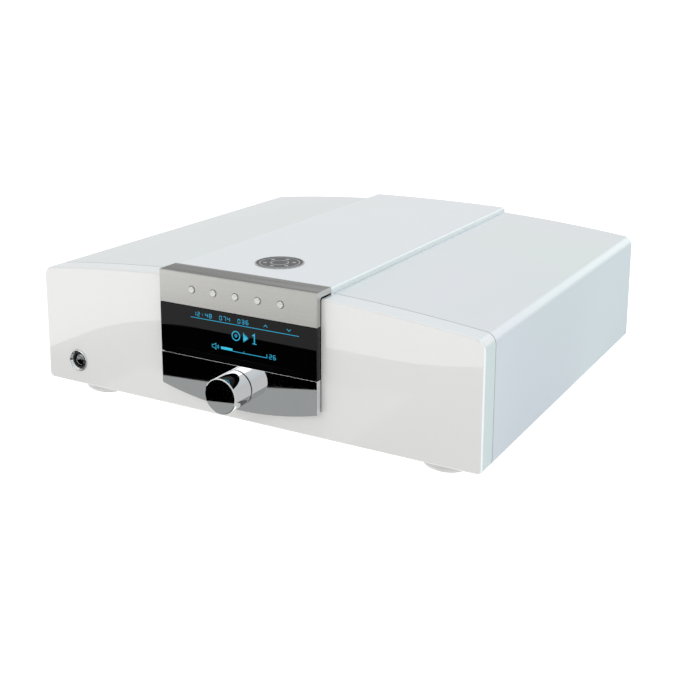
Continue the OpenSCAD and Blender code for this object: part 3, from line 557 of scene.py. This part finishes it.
# Each cover gets its own painted shade: a cooler tint on the right, a darker and greener one on the left
make_cover(1, "right_shell", "right_cover", "cover")
make_cover(-1, "left_shell", "left_cover", "left")
make_centre_cover()
make_seam()


# ---------------------------------------------------------------- control panel

def make_post(shell, x, z):
    """Pin on the back of a panel part that goes into the fascia."""
    lathe(shell, "y", Vector((x, 0, z)), open_line((0, -1), (2.5, -1), (2.5, 20.5), (0, 20.5)), 24)


def make_band():
    """Brushed control band with its button bores, the flange over the fascia's top, and the black gap behind."""
    front, back, seat, radius = -PANEL_OUT, PANEL_BACK - 0.6, 121.9, 2.4
    bores = [circle_hole(i * BUTTON_PITCH, BUTTON_Z, BUTTON_R + 0.25, 40) for i in range(-2, 3)]
    leg = Shell()
    outline = box_loop(-PANEL_X, PANEL_X, BAND_BOTTOM, BAND_TOP - 0.06, 0.3)
    prism(leg, "y", outline, front, back, 0.45, 0.1, bores, hole_edge=0.3, steps=5)
    for x in (-66, 66):
        make_post(leg, x, 107)
    piece(leg, "band_front", "brushed", "case", "control_band")

    flange = Shell()
    tip, inside = front + 0.6, BAND_BOTTOM + 3
    fillet = arc(back + radius, seat - radius, radius, 180, 90, 8)
    section = [Vector(p) for p in ((tip, BAND_TOP), (tip, inside), (back - 0.1, inside))]
    section += fillet + open_line((back + radius, seat), (16, seat, 0.3), (16, BAND_TOP, 0.35), (tip, BAND_TOP))[1:-1]
    prism(flange, "x", section, -PANEL_X + 0.01, PANEL_X - 0.01, 0.3, 0.3, steps=4)
    # The flange's top faces get the darker brushed finish, a painted dark reflection
    piece(flange, "band_flange", "brushed", "case", others=["flange"], chosen=lambda n: n.z > 0.8)

    gap, side, under = Shell(), PANEL_X - 0.15, seat + 0.05
    behind = rounded([(side, 24, 0.2), (side, seat - 1.2, 2), (-side, seat - 1.2, 2), (-side, 24, 0.2)])
    prism(gap, "y", behind, back - 0.05, 0.6, holes=[box_hole(-73.8, 73.8, 30, 117.8, 1)])
    prism(gap, "z", box_loop(-side, side, 0.5, 15.8, 0.2), 120.2, under)
    corner = [Vector(p) for p in ((back, seat - radius - 1), (2.5, seat - radius - 1), (2.5, under))]
    prism(gap, "x", corner + fillet[::-1], -side, side)
    piece(gap, "panel_gasket", "felt", "case")


def make_glass():
    """Display glass, cut out below for the disc slot, and the two felt lips of the slot."""
    shell = Shell()
    x, low, high, cut, e = PANEL_X, SEAM_Z + 0.3, BAND_BOTTOM - 0.3, 62.5, 0.4
    loop = rounded([(cut, low, e), (x, low, e), (x, high, e), (-x, high, e), (-x, low, e), (-cut, low, e),
                    (-cut, GLASS_NOTCH, e), (cut, GLASS_NOTCH, e)])
    prism(shell, "y", loop, -PANEL_OUT, -PANEL_OUT + 3.5, 0.3, 0.2, steps=4)
    felt = Shell()
    for z0, z1 in ((SEAM_Z - 0.2, SLOT_Z[0]), (SLOT_Z[1], GLASS_NOTCH + 0.3)):
        prism(felt, "y", box_loop(-cut - 0.5, cut + 0.5, z0, z1, 0.1), -4.3, -3.6)
    piece(felt, "slot_felt", "felt", "case")
    piece(shell, "glass_pane", "glass", "case", "display_glass")


def make_plate():
    """Polished plate with a bowed lower edge."""
    shell = Shell()
    low, corner, top, e = 12.5, 23.1, SEAM_Z - 0.3, 0.5
    rise = corner - low
    r = (PANEL_X ** 2 + rise ** 2) / (2 * rise)
    a = math.degrees(math.asin(PANEL_X / r))
    bow = arc(0, low + r, r, -90 - a, -90 + a, 72)
    loop = bow[1:-1] + open_line(bow[-2], (PANEL_X, corner, e), (PANEL_X, top, e), (-PANEL_X, top, e),
                                 (-PANEL_X, corner, e), bow[1])[1:-1]
    prism(shell, "y", loop, -PANEL_OUT, PANEL_BACK - 0.55, 0.14, 0.1, [circle_hole(0, KNOB_Z, 4.6)], steps=4)
    for x in (-60, 60):
        make_post(shell, x, 38)
    piece(shell, "polished_plate", "chrome", "case", "chrome_plate")


def make_knob():
    shell = Shell()
    face, back, r = KNOB_FACE, KNOB_BACK, KNOB_R
    outer = open_line((0, face), (r - 0.75, face, 0.12), (r, face + 0.75, 0.12), (r, back - 0.4, 0.12),
                      (r - 0.4, back, 0.12), (r - 3, back, 0.1), (r - 3, back - 7, 0.2), (3.05, back - 7, 0.1),
                      (3.05, back - 16), (0, back - 16))
    lathe(shell, "y", Vector((0, 0, KNOB_Z)), outer[::-1], 160)
    piece(shell, "turning_knob", "chrome", "knob", "knob")


def make_button(i):
    """Push button 1 to 5 from the left, slightly dished, with the collar that keeps it in its bore."""
    shell = Shell()
    r, collar, out = BUTTON_R, BUTTON_R + 1.2, -PANEL_OUT - 0.9
    profile = open_line((0, out + 0.12), (1.6, out + 0.03, 3), (r - 0.35, out, 0.2), (r, out + 0.4, 0.2),
                        (r, -0.4, 0.1), (collar, -0.4, 0.15), (collar, 0.5, 0.15), (0, 0.5))
    lathe(shell, "y", Vector(((i - 3) * BUTTON_PITCH, 0, BUTTON_Z)), profile[::-1], 40)
    piece(shell, f"button_cap_{i}", "button", f"button_{i}", f"button_{i}")


def make_power():
    """Power control: bright ring with a dark mark, black sleeve, and a domed cap that is pushed."""
    def part(name, look, body, node, *profile):
        shell = Shell()
        lathe(shell, "y", Vector((POWER_X, 0, POWER_Z)), open_line(*profile)[::-1], 96)
        piece(shell, name, look, body, node)

    part("power_bezel", "chrome", "case", "power_ring",
         (7.9, 1.5), (7.9, 0.8, 0.15), (9.45, -1.25, 0.3), (10.0, -1.0, 0.2), (10.0, 1.5))
    mark = Shell()
    outline = box_loop(POWER_X - 10.05, POWER_X - 8.1, POWER_Z - 0.45, POWER_Z + 0.45, 0.1)
    prism(mark, "y", outline, -1.35, 1.2)
    piece(mark, "power_mark", "black", "case")
    part("power_surround", "black", "case", "power_sleeve",
         (6.35, 19.3), (6.35, 1.0, 0.15), (7.85, 1.0, 0.15), (7.85, 19.3), (6.35, 19.3))
    part("power_cap", "cap", "power_button", "power_button",
         (0, 0.5), (0.8, 0.5, 2), (2.6, 0.75, 6), (4.4, 1.25, 6), (5.7, 1.95, 0.5), (5.9, 2.6, 0.3), (5.9, 14, 0.2),
         (0, 14))


make_band()
make_glass()
make_plate()
make_knob()
for number in range(1, 6):
    make_button(number)
make_power()


# ---------------------------------------------------------------- display

INK_Y = (-PANEL_OUT - 0.05, -PANEL_OUT + 0.02)
# The bars of each digit, and the ends of each bar in a box of width and height 1
SEVEN = {"0": "abcdef", "1": "bc", "2": "abged", "3": "abgcd", "4": "fgbc", "6": "afgedc", "7": "abc",
         "8": "abcdefg"}
BARS = {"a": ((0, 1), (1, 1)), "b": ((1, 1), (1, 0.5)), "c": ((1, 0.5), (1, 0)), "d": ((0, 0), (1, 0)),
        "e": ((0, 0.5), (0, 0)), "f": ((0, 1), (0, 0.5)), "g": ((0, 0.5), (1, 0.5))}


def stroke(shell, points, width):
    """A flat line of even width on the display."""
    pts = [Vector(p) for p in points]
    _, mitres = edge_normals(pts, closed=False)
    a = [p + m * width / 2 for p, m in zip(pts, mitres)]
    b = [p - m * width / 2 for p, m in zip(pts, mitres)]
    loop = a + b[::-1]
    area = sum(p.x * q.y - q.x * p.y for p, q in zip(loop, loop[1:] + loop[:1]))
    prism(shell, "y", loop if area > 0 else loop[::-1], *INK_Y)


def seven_segment(shell, text, x, z, h=3.4, pitch=4.1):
    """Digits from their lower left corner on, with a colon where the text has one."""
    w, width = 2.3, 0.55
    for i, c in enumerate(text):
        left = x + i * pitch
        for bar in SEVEN.get(c, ""):
            p, q = (Vector((left + u * w, z + v * h)) for u, v in BARS[bar])
            trim = (q - p).normalized() * width * 0.35
            stroke(shell, [p + trim, q - trim], width)
        if c == ":":
            for k in (0.3, 0.7):
                middle, dot = left + w / 2, z + k * h
                stroke(shell, [(middle, dot - width / 2), (middle, dot + width / 2)], width)


def ring_stroke(shell, x, z, r, width):
    outline = arc(x, z, r + width / 2, 0, 352.5, 47)
    prism(shell, "y", outline, *INK_Y, holes=[circle_hole(x, z, r - width / 2, 48)])


def make_display():
    """Lit marks on the glass: counters and arrows on a line, disc, play sign and track number, level bar."""
    counters = Shell()
    for text, x in (("12:48", -43.5), ("074", -16.4), ("036", 2.4)):
        seven_segment(counters, text, x, 90.3)
    piece(counters, "display_counters", "glow", "case")
    marks = Shell()
    stroke(marks, [(-46.6, 88.4), (62.7, 88.4)], 0.5)
    stroke(marks, [(28.4, 91.2), (30.2, 93.0), (32.0, 91.2)], 0.55)
    stroke(marks, [(51.2, 93.0), (53.0, 91.2), (54.8, 93.0)], 0.55)
    piece(marks, "display_marks", "glow", "case")
    track = Shell()
    ring_stroke(track, 0.2, 78.7, 3.9, 0.9)
    ring_stroke(track, 0.2, 78.7, 1.0, 0.63)
    stroke(track, [(8.0, 75.0), (8.0, 82.4), (13.4, 78.7), (8.0, 75.0), (8.0, 75.6)], 0.72)
    stroke(track, [(17.0, 81.2), (18.9, 82.8), (18.9, 74.5)], 1.15)
    stroke(track, [(16.9, 74.6), (20.9, 74.6)], 0.7)
    piece(track, "display_track", "glow", "case")
    level = Shell()
    stroke(level, [(-24.6, 64.9), (-24.6, 67.3), (-22.9, 67.3), (-20.7, 68.8), (-20.7, 63.4), (-22.9, 64.9),
                   (-24.6, 64.9), (-24.6, 65.3)], 0.5)
    for r in (1.4, 2.6):
        stroke(level, arc(-20.4, 66.1, r, -42, 42, 6), 0.45)
    stroke(level, [(-3.6, 64.6), (31.2, 64.6)], 0.5)
    stroke(level, [(8.0, 64.6), (8.0, 66.2)], 0.5)
    stroke(level, [(31.2, 64.4), (31.2, 67.6)], 0.6)
    seven_segment(level, "26", 33.7, 64.2, h=3.6, pitch=3.8)
    piece(level, "display_level", "glow", "case")
    bar = Shell()
    prism(bar, "y", [Vector(p) for p in ((-15.4, 64.6), (-3.6, 64.6), (-3.6, 66.9), (-15.4, 66.9))], *INK_Y)
    piece(bar, "display_level_bar", "glow_bright", "case")


make_display()


# ---------------------------------------------------------------- badge and feet

def make_badge():
    """Round badge of plain rings and dots."""
    top, centre = EMBLEM_TOP, Vector((0, EMBLEM_Y, 0))
    disc = Shell()
    lathe(disc, "z", centre, open_line((0, top - 1.4), (21.2, top - 1.4), (21.2, top - 0.1, 0.2),
                                       (20.0, top + 0.02, 0.3), (16, top), (0, top - 0.02)), 128)
    piece(disc, "badge_disc", "badge", "case", "emblem")
    rims = Shell()
    for r0, r1, rise in ((20.7, EMBLEM_R, 0.3), (17.2, 18.2, 0.14), (7.2, 8.4, 0.14)):
        profile = open_line((r0, top - 0.5), (r0, top + rise - 0.05, 0.1), ((r0 + r1) / 2, top + rise, 1),
                            (r1, top + rise - 0.1, 0.1), (r1, top - 0.5), (r0, top - 0.5))
        lathe(rims, "z", centre, profile[::-1], 128)
    for a in range(30, 390, 60):
        t = math.radians(a)
        dot = centre + Vector((math.cos(t), math.sin(t), 0)) * 12.9
        lathe(rims, "z", dot, open_line((0, top - 0.5), (1.8, top - 0.5), (1.8, top + 0.1, 0.2), (0, top + 0.16)), 32)
    piece(rims, "badge_rings", "badge_rim", "case")


def make_feet():
    feet, r = Shell(), FOOT_R
    for x in (-FOOT_X, FOOT_X):
        for y in (FOOT_Y, CASE_D - FOOT_Y):
            centre = Vector((x, y, 0))
            lathe(feet, "z", centre, open_line((5.5, -11.5), (r - 1.4, -11.5, 0.8), (r, -9.2, 1.2), (r, -1.0, 0.5),
                                               (r - 0.6, -0.3, 0.3), (11, -0.3, 0.2), (11, 3.5)))
            lathe(feet, "z", centre, open_line((5.5, -5), (5.5, -11.5)), 48)
    piece(feet, "case_feet", "foot", "case", "feet")


make_badge()
make_feet()


# ---------------------------------------------------------------- back

def make_phono_trim(name, x, look):
    """Insulator ring at the mouth of a phono socket, and the washer at its foot."""
    centre = Vector((x, 0, PHONO_Z))
    for suffix, inner, outer, start, end, e, segments in (("", 1.65, 3.3, 11.4, 12.05, 0.1, 48),
                                                          ("_washer", 4.3, 8.4, 0.02, 0.8, 0.3, 64)):
        shell, low, high = Shell(), REAR_Y + start, REAR_Y + end
        profile = open_line((inner, low), (outer, low), (outer, high, e), (inner, high, e), (inner, low))
        lathe(shell, "y", centre, profile, segments)
        piece(shell, name + suffix, look, "case")


def make_xlr_trim(name, x):
    """Latch ring round a balanced socket with the two screws of its plate, and the socket's three pins."""
    face, z = REAR_Y + 2.02, BALANCED_Z
    ring = Shell()
    profile = open_line((9.4, face), (11.2, face), (11.2, REAR_Y + 2.7, 0.3), (9.8, REAR_Y + 3.1, 0.3),
                        (9.4, REAR_Y + 2.6), (9.4, face))
    lathe(ring, "y", Vector((x, 0, z)), profile, 72)
    for side in (-1, 1):
        screw = open_line((0, face), (1.8, face), (1.7, REAR_Y + 2.6, 0.3), (0, REAR_Y + 2.95))
        lathe(ring, "y", Vector((x + side * 9.9, 0, z - side * 12.6)), screw, 24)
    piece(ring, name, "chrome", "case")
    pins = Shell()
    for a in (0, 120, 240):
        t = math.radians(a)
        pin = open_line((0, REAR_Y - 18), (1.26, REAR_Y - 18), (1.26, REAR_Y - 5.9, 0.6), (0, REAR_Y - 5.6))
        lathe(pins, "y", Vector((x + 4.5 * math.sin(t), 0, z - 4.5 * math.cos(t))), pin, 20)
    piece(pins, name + "_pins", "gold", "case")


def make_entry_trim():
    """Bright pins of the mains inlet, and the four screws of its plate."""
    pins = Shell()
    for x in (INLET_X - 7, INLET_X, INLET_X + 7):
        prism(pins, "y", box_loop(x - 1.06, x + 1.06, 31.9, 36.1, 0.3), REAR_Y - 18.4, REAR_Y - 4.8, 0.2, 0.5)
    piece(pins, "inlet_pins", "steel", "case")
    screws = Shell()
    face, deep = REAR_Y + 2.52, REAR_Y + 3.0
    profile = open_line((0, face), (2.3, face), (2.2, REAR_Y + 3.2, 0.4), (0.8, REAR_Y + 3.5), (0.8, deep), (0, deep))
    for z in (20.5, 83.5):
        for x in (INLET_X - 21.5, INLET_X + 21.5):
            lathe(screws, "y", Vector((x, 0, z)), profile, 24)
    piece(screws, "inlet_screws", "steel", "case")


for name, look in (("ring_right", "red"), ("ring_left", "white"), ("ring_coaxial", "black")):
    make_phono_trim(name, PHONO_X[name], look)
make_xlr_trim("balanced_ring_right", PHONO_X["ring_right"])
make_xlr_trim("balanced_ring_left", PHONO_X["ring_left"])
make_entry_trim()


# ---------------------------------------------------------------- CAD parts that show

DRESS = {
    "base_plate": "steel", "rear_panel": "rear", "front_subframe": "steel",
    "panel_carrier": "black", "slot_guide": "black", "display_module": "black", "button_board": "board",
    "encoder_shaft": "steel", "encoder_body": "steel", "power_switch": "black", "foot_pads": "pad",
    "foot_screws": "steel", "case_screws": "steel", "toroidal_transformer": "tape", "transformer_clamp": "steel",
    "transformer_bolt": "steel", "psu_board": "board", "psu_capacitors": "sleeve", "heatsink": "anodised",
    "main_board": "board", "board_spacers": "steel", "power_entry": "black", "mains_rocker": "black",
    "rca_sockets": "gold", "xlr_sockets": "black", "digital_sockets": "gold", "transport_frame": "steel",
    "transport_dampers": "rubber", "clamp_bridge": "steel", "clamp_puck": "black", "lift_slide": "brushed",
    "traverse_plate": "steel", "spindle_motor": "steel", "turntable": "black", "pickup_sled": "steel",
    "pickup_lens": "lens", "guide_rods": "chrome", "sled_motor": "steel", "sled_pinion": "gold",
    "loading_roller": "rubber", "loading_pinion": "gold", "loading_motor": "steel",
}
# Width of the rounded edges in millimetres, on the CAD parts that can be seen
ROUNDED_EDGES = {
    "rear_panel": 0.3, "power_entry": 0.5, "mains_rocker": 0.4, "rca_sockets": 0.2,
    "xlr_sockets": 0.4, "digital_sockets": 0.2, "case_screws": 0.25, "foot_screws": 0.3, "foot_pads": 0.3,
    "base_plate": 0.15, "slot_guide": 0.2, "panel_carrier": 0.2, "turntable": 0.2, "clamp_puck": 0.2,
}

for node, finish_name in DRESS.items():
    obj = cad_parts[node]
    obj.data.materials.clear()
    obj.data.materials.append(MAT[finish_name])
    if node in ROUNDED_EDGES:
        weld = obj.modifiers.new("weld", "WELD")
        weld.merge_threshold = 0.000002
        edge = obj.modifiers.new("edge", "BEVEL")
        edge.width = ROUNDED_EDGES[node] * MM
        edge.segments = 3
        edge.limit_method = "ANGLE"
        edge.angle_limit = math.radians(32)
        edge.harden_normals = True


# ---------------------------------------------------------------- stage

FLOOR_Z = -FOOT_H
FLOOR_REACH = 60000


def stage_plane(name, corners, material):
    mesh = bpy.data.meshes.new(name)
    mesh.from_pydata([placed(c) for c in corners], [], [tuple(range(len(corners)))])
    obj = bpy.data.objects.new(name, mesh)
    obj.data.materials.append(material)
    COLLECTION.objects.link(obj)
    return obj


def floor_material():
    """Plain pale floor, lit from within so that it stays as white as the studio."""
    material, tree, shader = graph("floor")
    greys = blend_colours(tree, noise(tree, 3, 1), (0.30, 0.30, 0.30), (0.31, 0.31, 0.31))
    tree.links.new(greys, shader.inputs["Base Color"])
    shader.inputs["Roughness"].default_value = 0.9
    shader.inputs["Emission Color"].default_value = (1, 1, 1, 1)
    shader.inputs["Emission Strength"].default_value = 0.95
    return material


def card_material(name, colour):
    material = bpy.data.materials.new(name)
    material.use_nodes = True
    tree = material.node_tree
    tree.nodes.clear()
    light = tree.nodes.new("ShaderNodeEmission")
    light.inputs["Color"].default_value = (*colour, 1)
    light.inputs["Strength"].default_value = 1
    out = tree.nodes.new("ShaderNodeOutputMaterial")
    tree.links.new(light.outputs["Emission"], out.inputs["Surface"])
    return material


def one_sided(material):
    """Makes the back of a card clear."""
    tree = material.node_tree
    side = tree.nodes.new("ShaderNodeNewGeometry")
    clear = tree.nodes.new("ShaderNodeBsdfTransparent")
    mix = tree.nodes.new("ShaderNodeMixShader")
    light = next(n for n in tree.nodes if n.type == "EMISSION")
    out = next(n for n in tree.nodes if n.type == "OUTPUT_MATERIAL")
    tree.links.new(side.outputs["Backfacing"], mix.inputs["Fac"])
    tree.links.new(light.outputs["Emission"], mix.inputs[1])
    tree.links.new(clear.outputs["BSDF"], mix.inputs[2])
    tree.links.new(mix.outputs["Shader"], out.inputs["Surface"])


def mirror_only(obj):
    """A studio card that only reflections see."""
    obj.visible_camera = False
    obj.visible_diffuse = False
    obj.visible_shadow = False
    obj.visible_transmission = False
    obj.visible_volume_scatter = False


def make_card(name, colour, corners, lift):
    """A card just above the floor that only reflections see."""
    card = stage_plane(name, [Vector((x, y, FLOOR_Z + lift)) for x, y in corners], card_material(name, colour))
    mirror_only(card)
    return card


def make_cards():
    """The dark table, the grey near the plate and the cool right side, which the glossy parts mirror."""
    table = rounded([(-312, -1, 0), (-312, -239, 88), (62, -236, 150), (240, -330, 40), (240, -1, 0)])
    near = [(-184, -1), (-184, -93), (-158, -95), (-104, -102), (-43, -118), (8, -139), (90, -158), (90, -1)]
    make_card("dark_card", (0.0, 0.0, 0.0), table, 0.6)
    make_card("grey_card", (0.34, 0.35, 0.345), near, 1.2)
    make_card("shade_card", (0.13, 0.13, 0.13), [(-12, -1), (-12, -46), (62, -46), (62, -1)], 1.8)
    make_card("far_card", (0.28, 0.29, 0.30), [(-420, -1500), (420, -1500), (420, -560), (-420, -560)], 0.6)
    cool = make_card("cool_card", (0.66, 0.735, 0.765), [(226, 10), (1800, 10), (1800, 2500), (226, 2500)], 0.9)
    cool.visible_diffuse = True
    sheet = card_material("knob_card", (0.66, 0.66, 0.655))
    one_sided(sheet)
    upright = [Vector((42, y, z)) for y, z in ((-105, -12), (-105, 58), (-8, 58), (-8, -12))]
    mirror_only(stage_plane("knob_card", upright, sheet))


corners = [Vector((x * FLOOR_REACH, y * FLOOR_REACH, FLOOR_Z)) for x, y in ((-1, -1), (1, -1), (1, 1), (-1, 1))]
stage_plane("floor", corners, floor_material())
make_cards()


def area_light(name, place, target, size, power, colour):
    data = bpy.data.lights.new(name, "AREA")
    data.shape = "RECTANGLE"
    data.size, data.size_y = size
    data.energy = power
    data.color = colour
    obj = bpy.data.objects.new(name, data)
    obj.location = Vector(place)
    obj.rotation_mode = "QUATERNION"
    obj.rotation_quaternion = (Vector(target) - Vector(place)).to_track_quat("-Z", "Y")
    COLLECTION.objects.link(obj)


area_light("top_softbox", (0.1, 0.3, 1.9), (0, 0, 0), (2.2, 2.2), 9, (0.95, 0.98, 1.0))
area_light("front_softbox", (-0.9, -2.2, 1.2), (0, 0, 0.05), (1.6, 1.2), 7, (1.0, 0.985, 0.96))


def make_world():
    """Pale studio, cooler to the right, with a bright strip at the back right that the rounded edges mirror."""
    world = bpy.data.worlds.new("studio")
    bpy.context.scene.world = world
    world.use_nodes = True
    tree = world.node_tree
    background = tree.nodes["Background"]
    coords = tree.nodes.new("ShaderNodeTexCoord")
    split = tree.nodes.new("ShaderNodeSeparateXYZ")
    tree.links.new(coords.outputs["Generated"], split.inputs["Vector"])
    side = spread(tree, split.outputs["X"], 0, 1, 0.1, 0.9)
    base = blend_colours(tree, side, (0.86, 0.865, 0.86), (0.60, 0.68, 0.72))
    strip = spread(tree, split.outputs["X"], 0, 1, -0.04, 0.12)
    for way, start, end in (("Y", 0.4, 0.6), ("Z", 0.02, 0.10), ("Z", 0.80, 0.62)):
        strip = product(tree, strip, spread(tree, split.outputs[way], 0, 1, start, end))
    mix = tree.nodes.new("ShaderNodeMix")
    mix.data_type = "RGBA"
    tree.links.new(strip, mix.inputs["Factor"])
    tree.links.new(base, mix.inputs["A"])
    mix.inputs["B"].default_value = (1.5, 1.56, 1.58, 1)
    tree.links.new(mix.outputs["Result"], background.inputs["Color"])
    background.inputs["Strength"].default_value = 0.92
    plain = tree.nodes.new("ShaderNodeBackground")
    plain.inputs["Color"].default_value = (1, 1, 1, 1)
    path = tree.nodes.new("ShaderNodeLightPath")
    both = tree.nodes.new("ShaderNodeMixShader")
    tree.links.new(path.outputs["Is Camera Ray"], both.inputs["Fac"])
    tree.links.new(background.outputs["Background"], both.inputs[1])
    tree.links.new(plain.outputs["Background"], both.inputs[2])
    tree.links.new(both.outputs["Shader"], tree.nodes["World Output"].inputs["Surface"])


make_world()


def make_camera():
    """Camera at the viewing angle of the photograph."""
    yaw, pitch, roll = (math.radians(a) for a in (-29.454, 12.503, 0.187))
    ahead = Vector((math.sin(yaw) * math.cos(pitch), math.cos(yaw) * math.cos(pitch), -math.sin(pitch)))
    data = bpy.data.cameras.new("camera")
    data.lens, data.sensor_width = 58.318, 36
    data.shift_y = -0.17
    data.clip_start, data.clip_end = 0.01, 200
    cam = bpy.data.objects.new("camera", data)
    cam.location = placed(Vector((520.048, -743.217, 371.744)))
    cam.rotation_mode = "QUATERNION"
    cam.rotation_quaternion = ahead.to_track_quat("-Z", "Y")
    cam.rotation_quaternion.rotate(Quaternion(ahead, -roll))
    COLLECTION.objects.link(cam)
    bpy.context.scene.camera = cam


make_camera()
bpy.context.scene.view_settings.view_transform = "Standard"
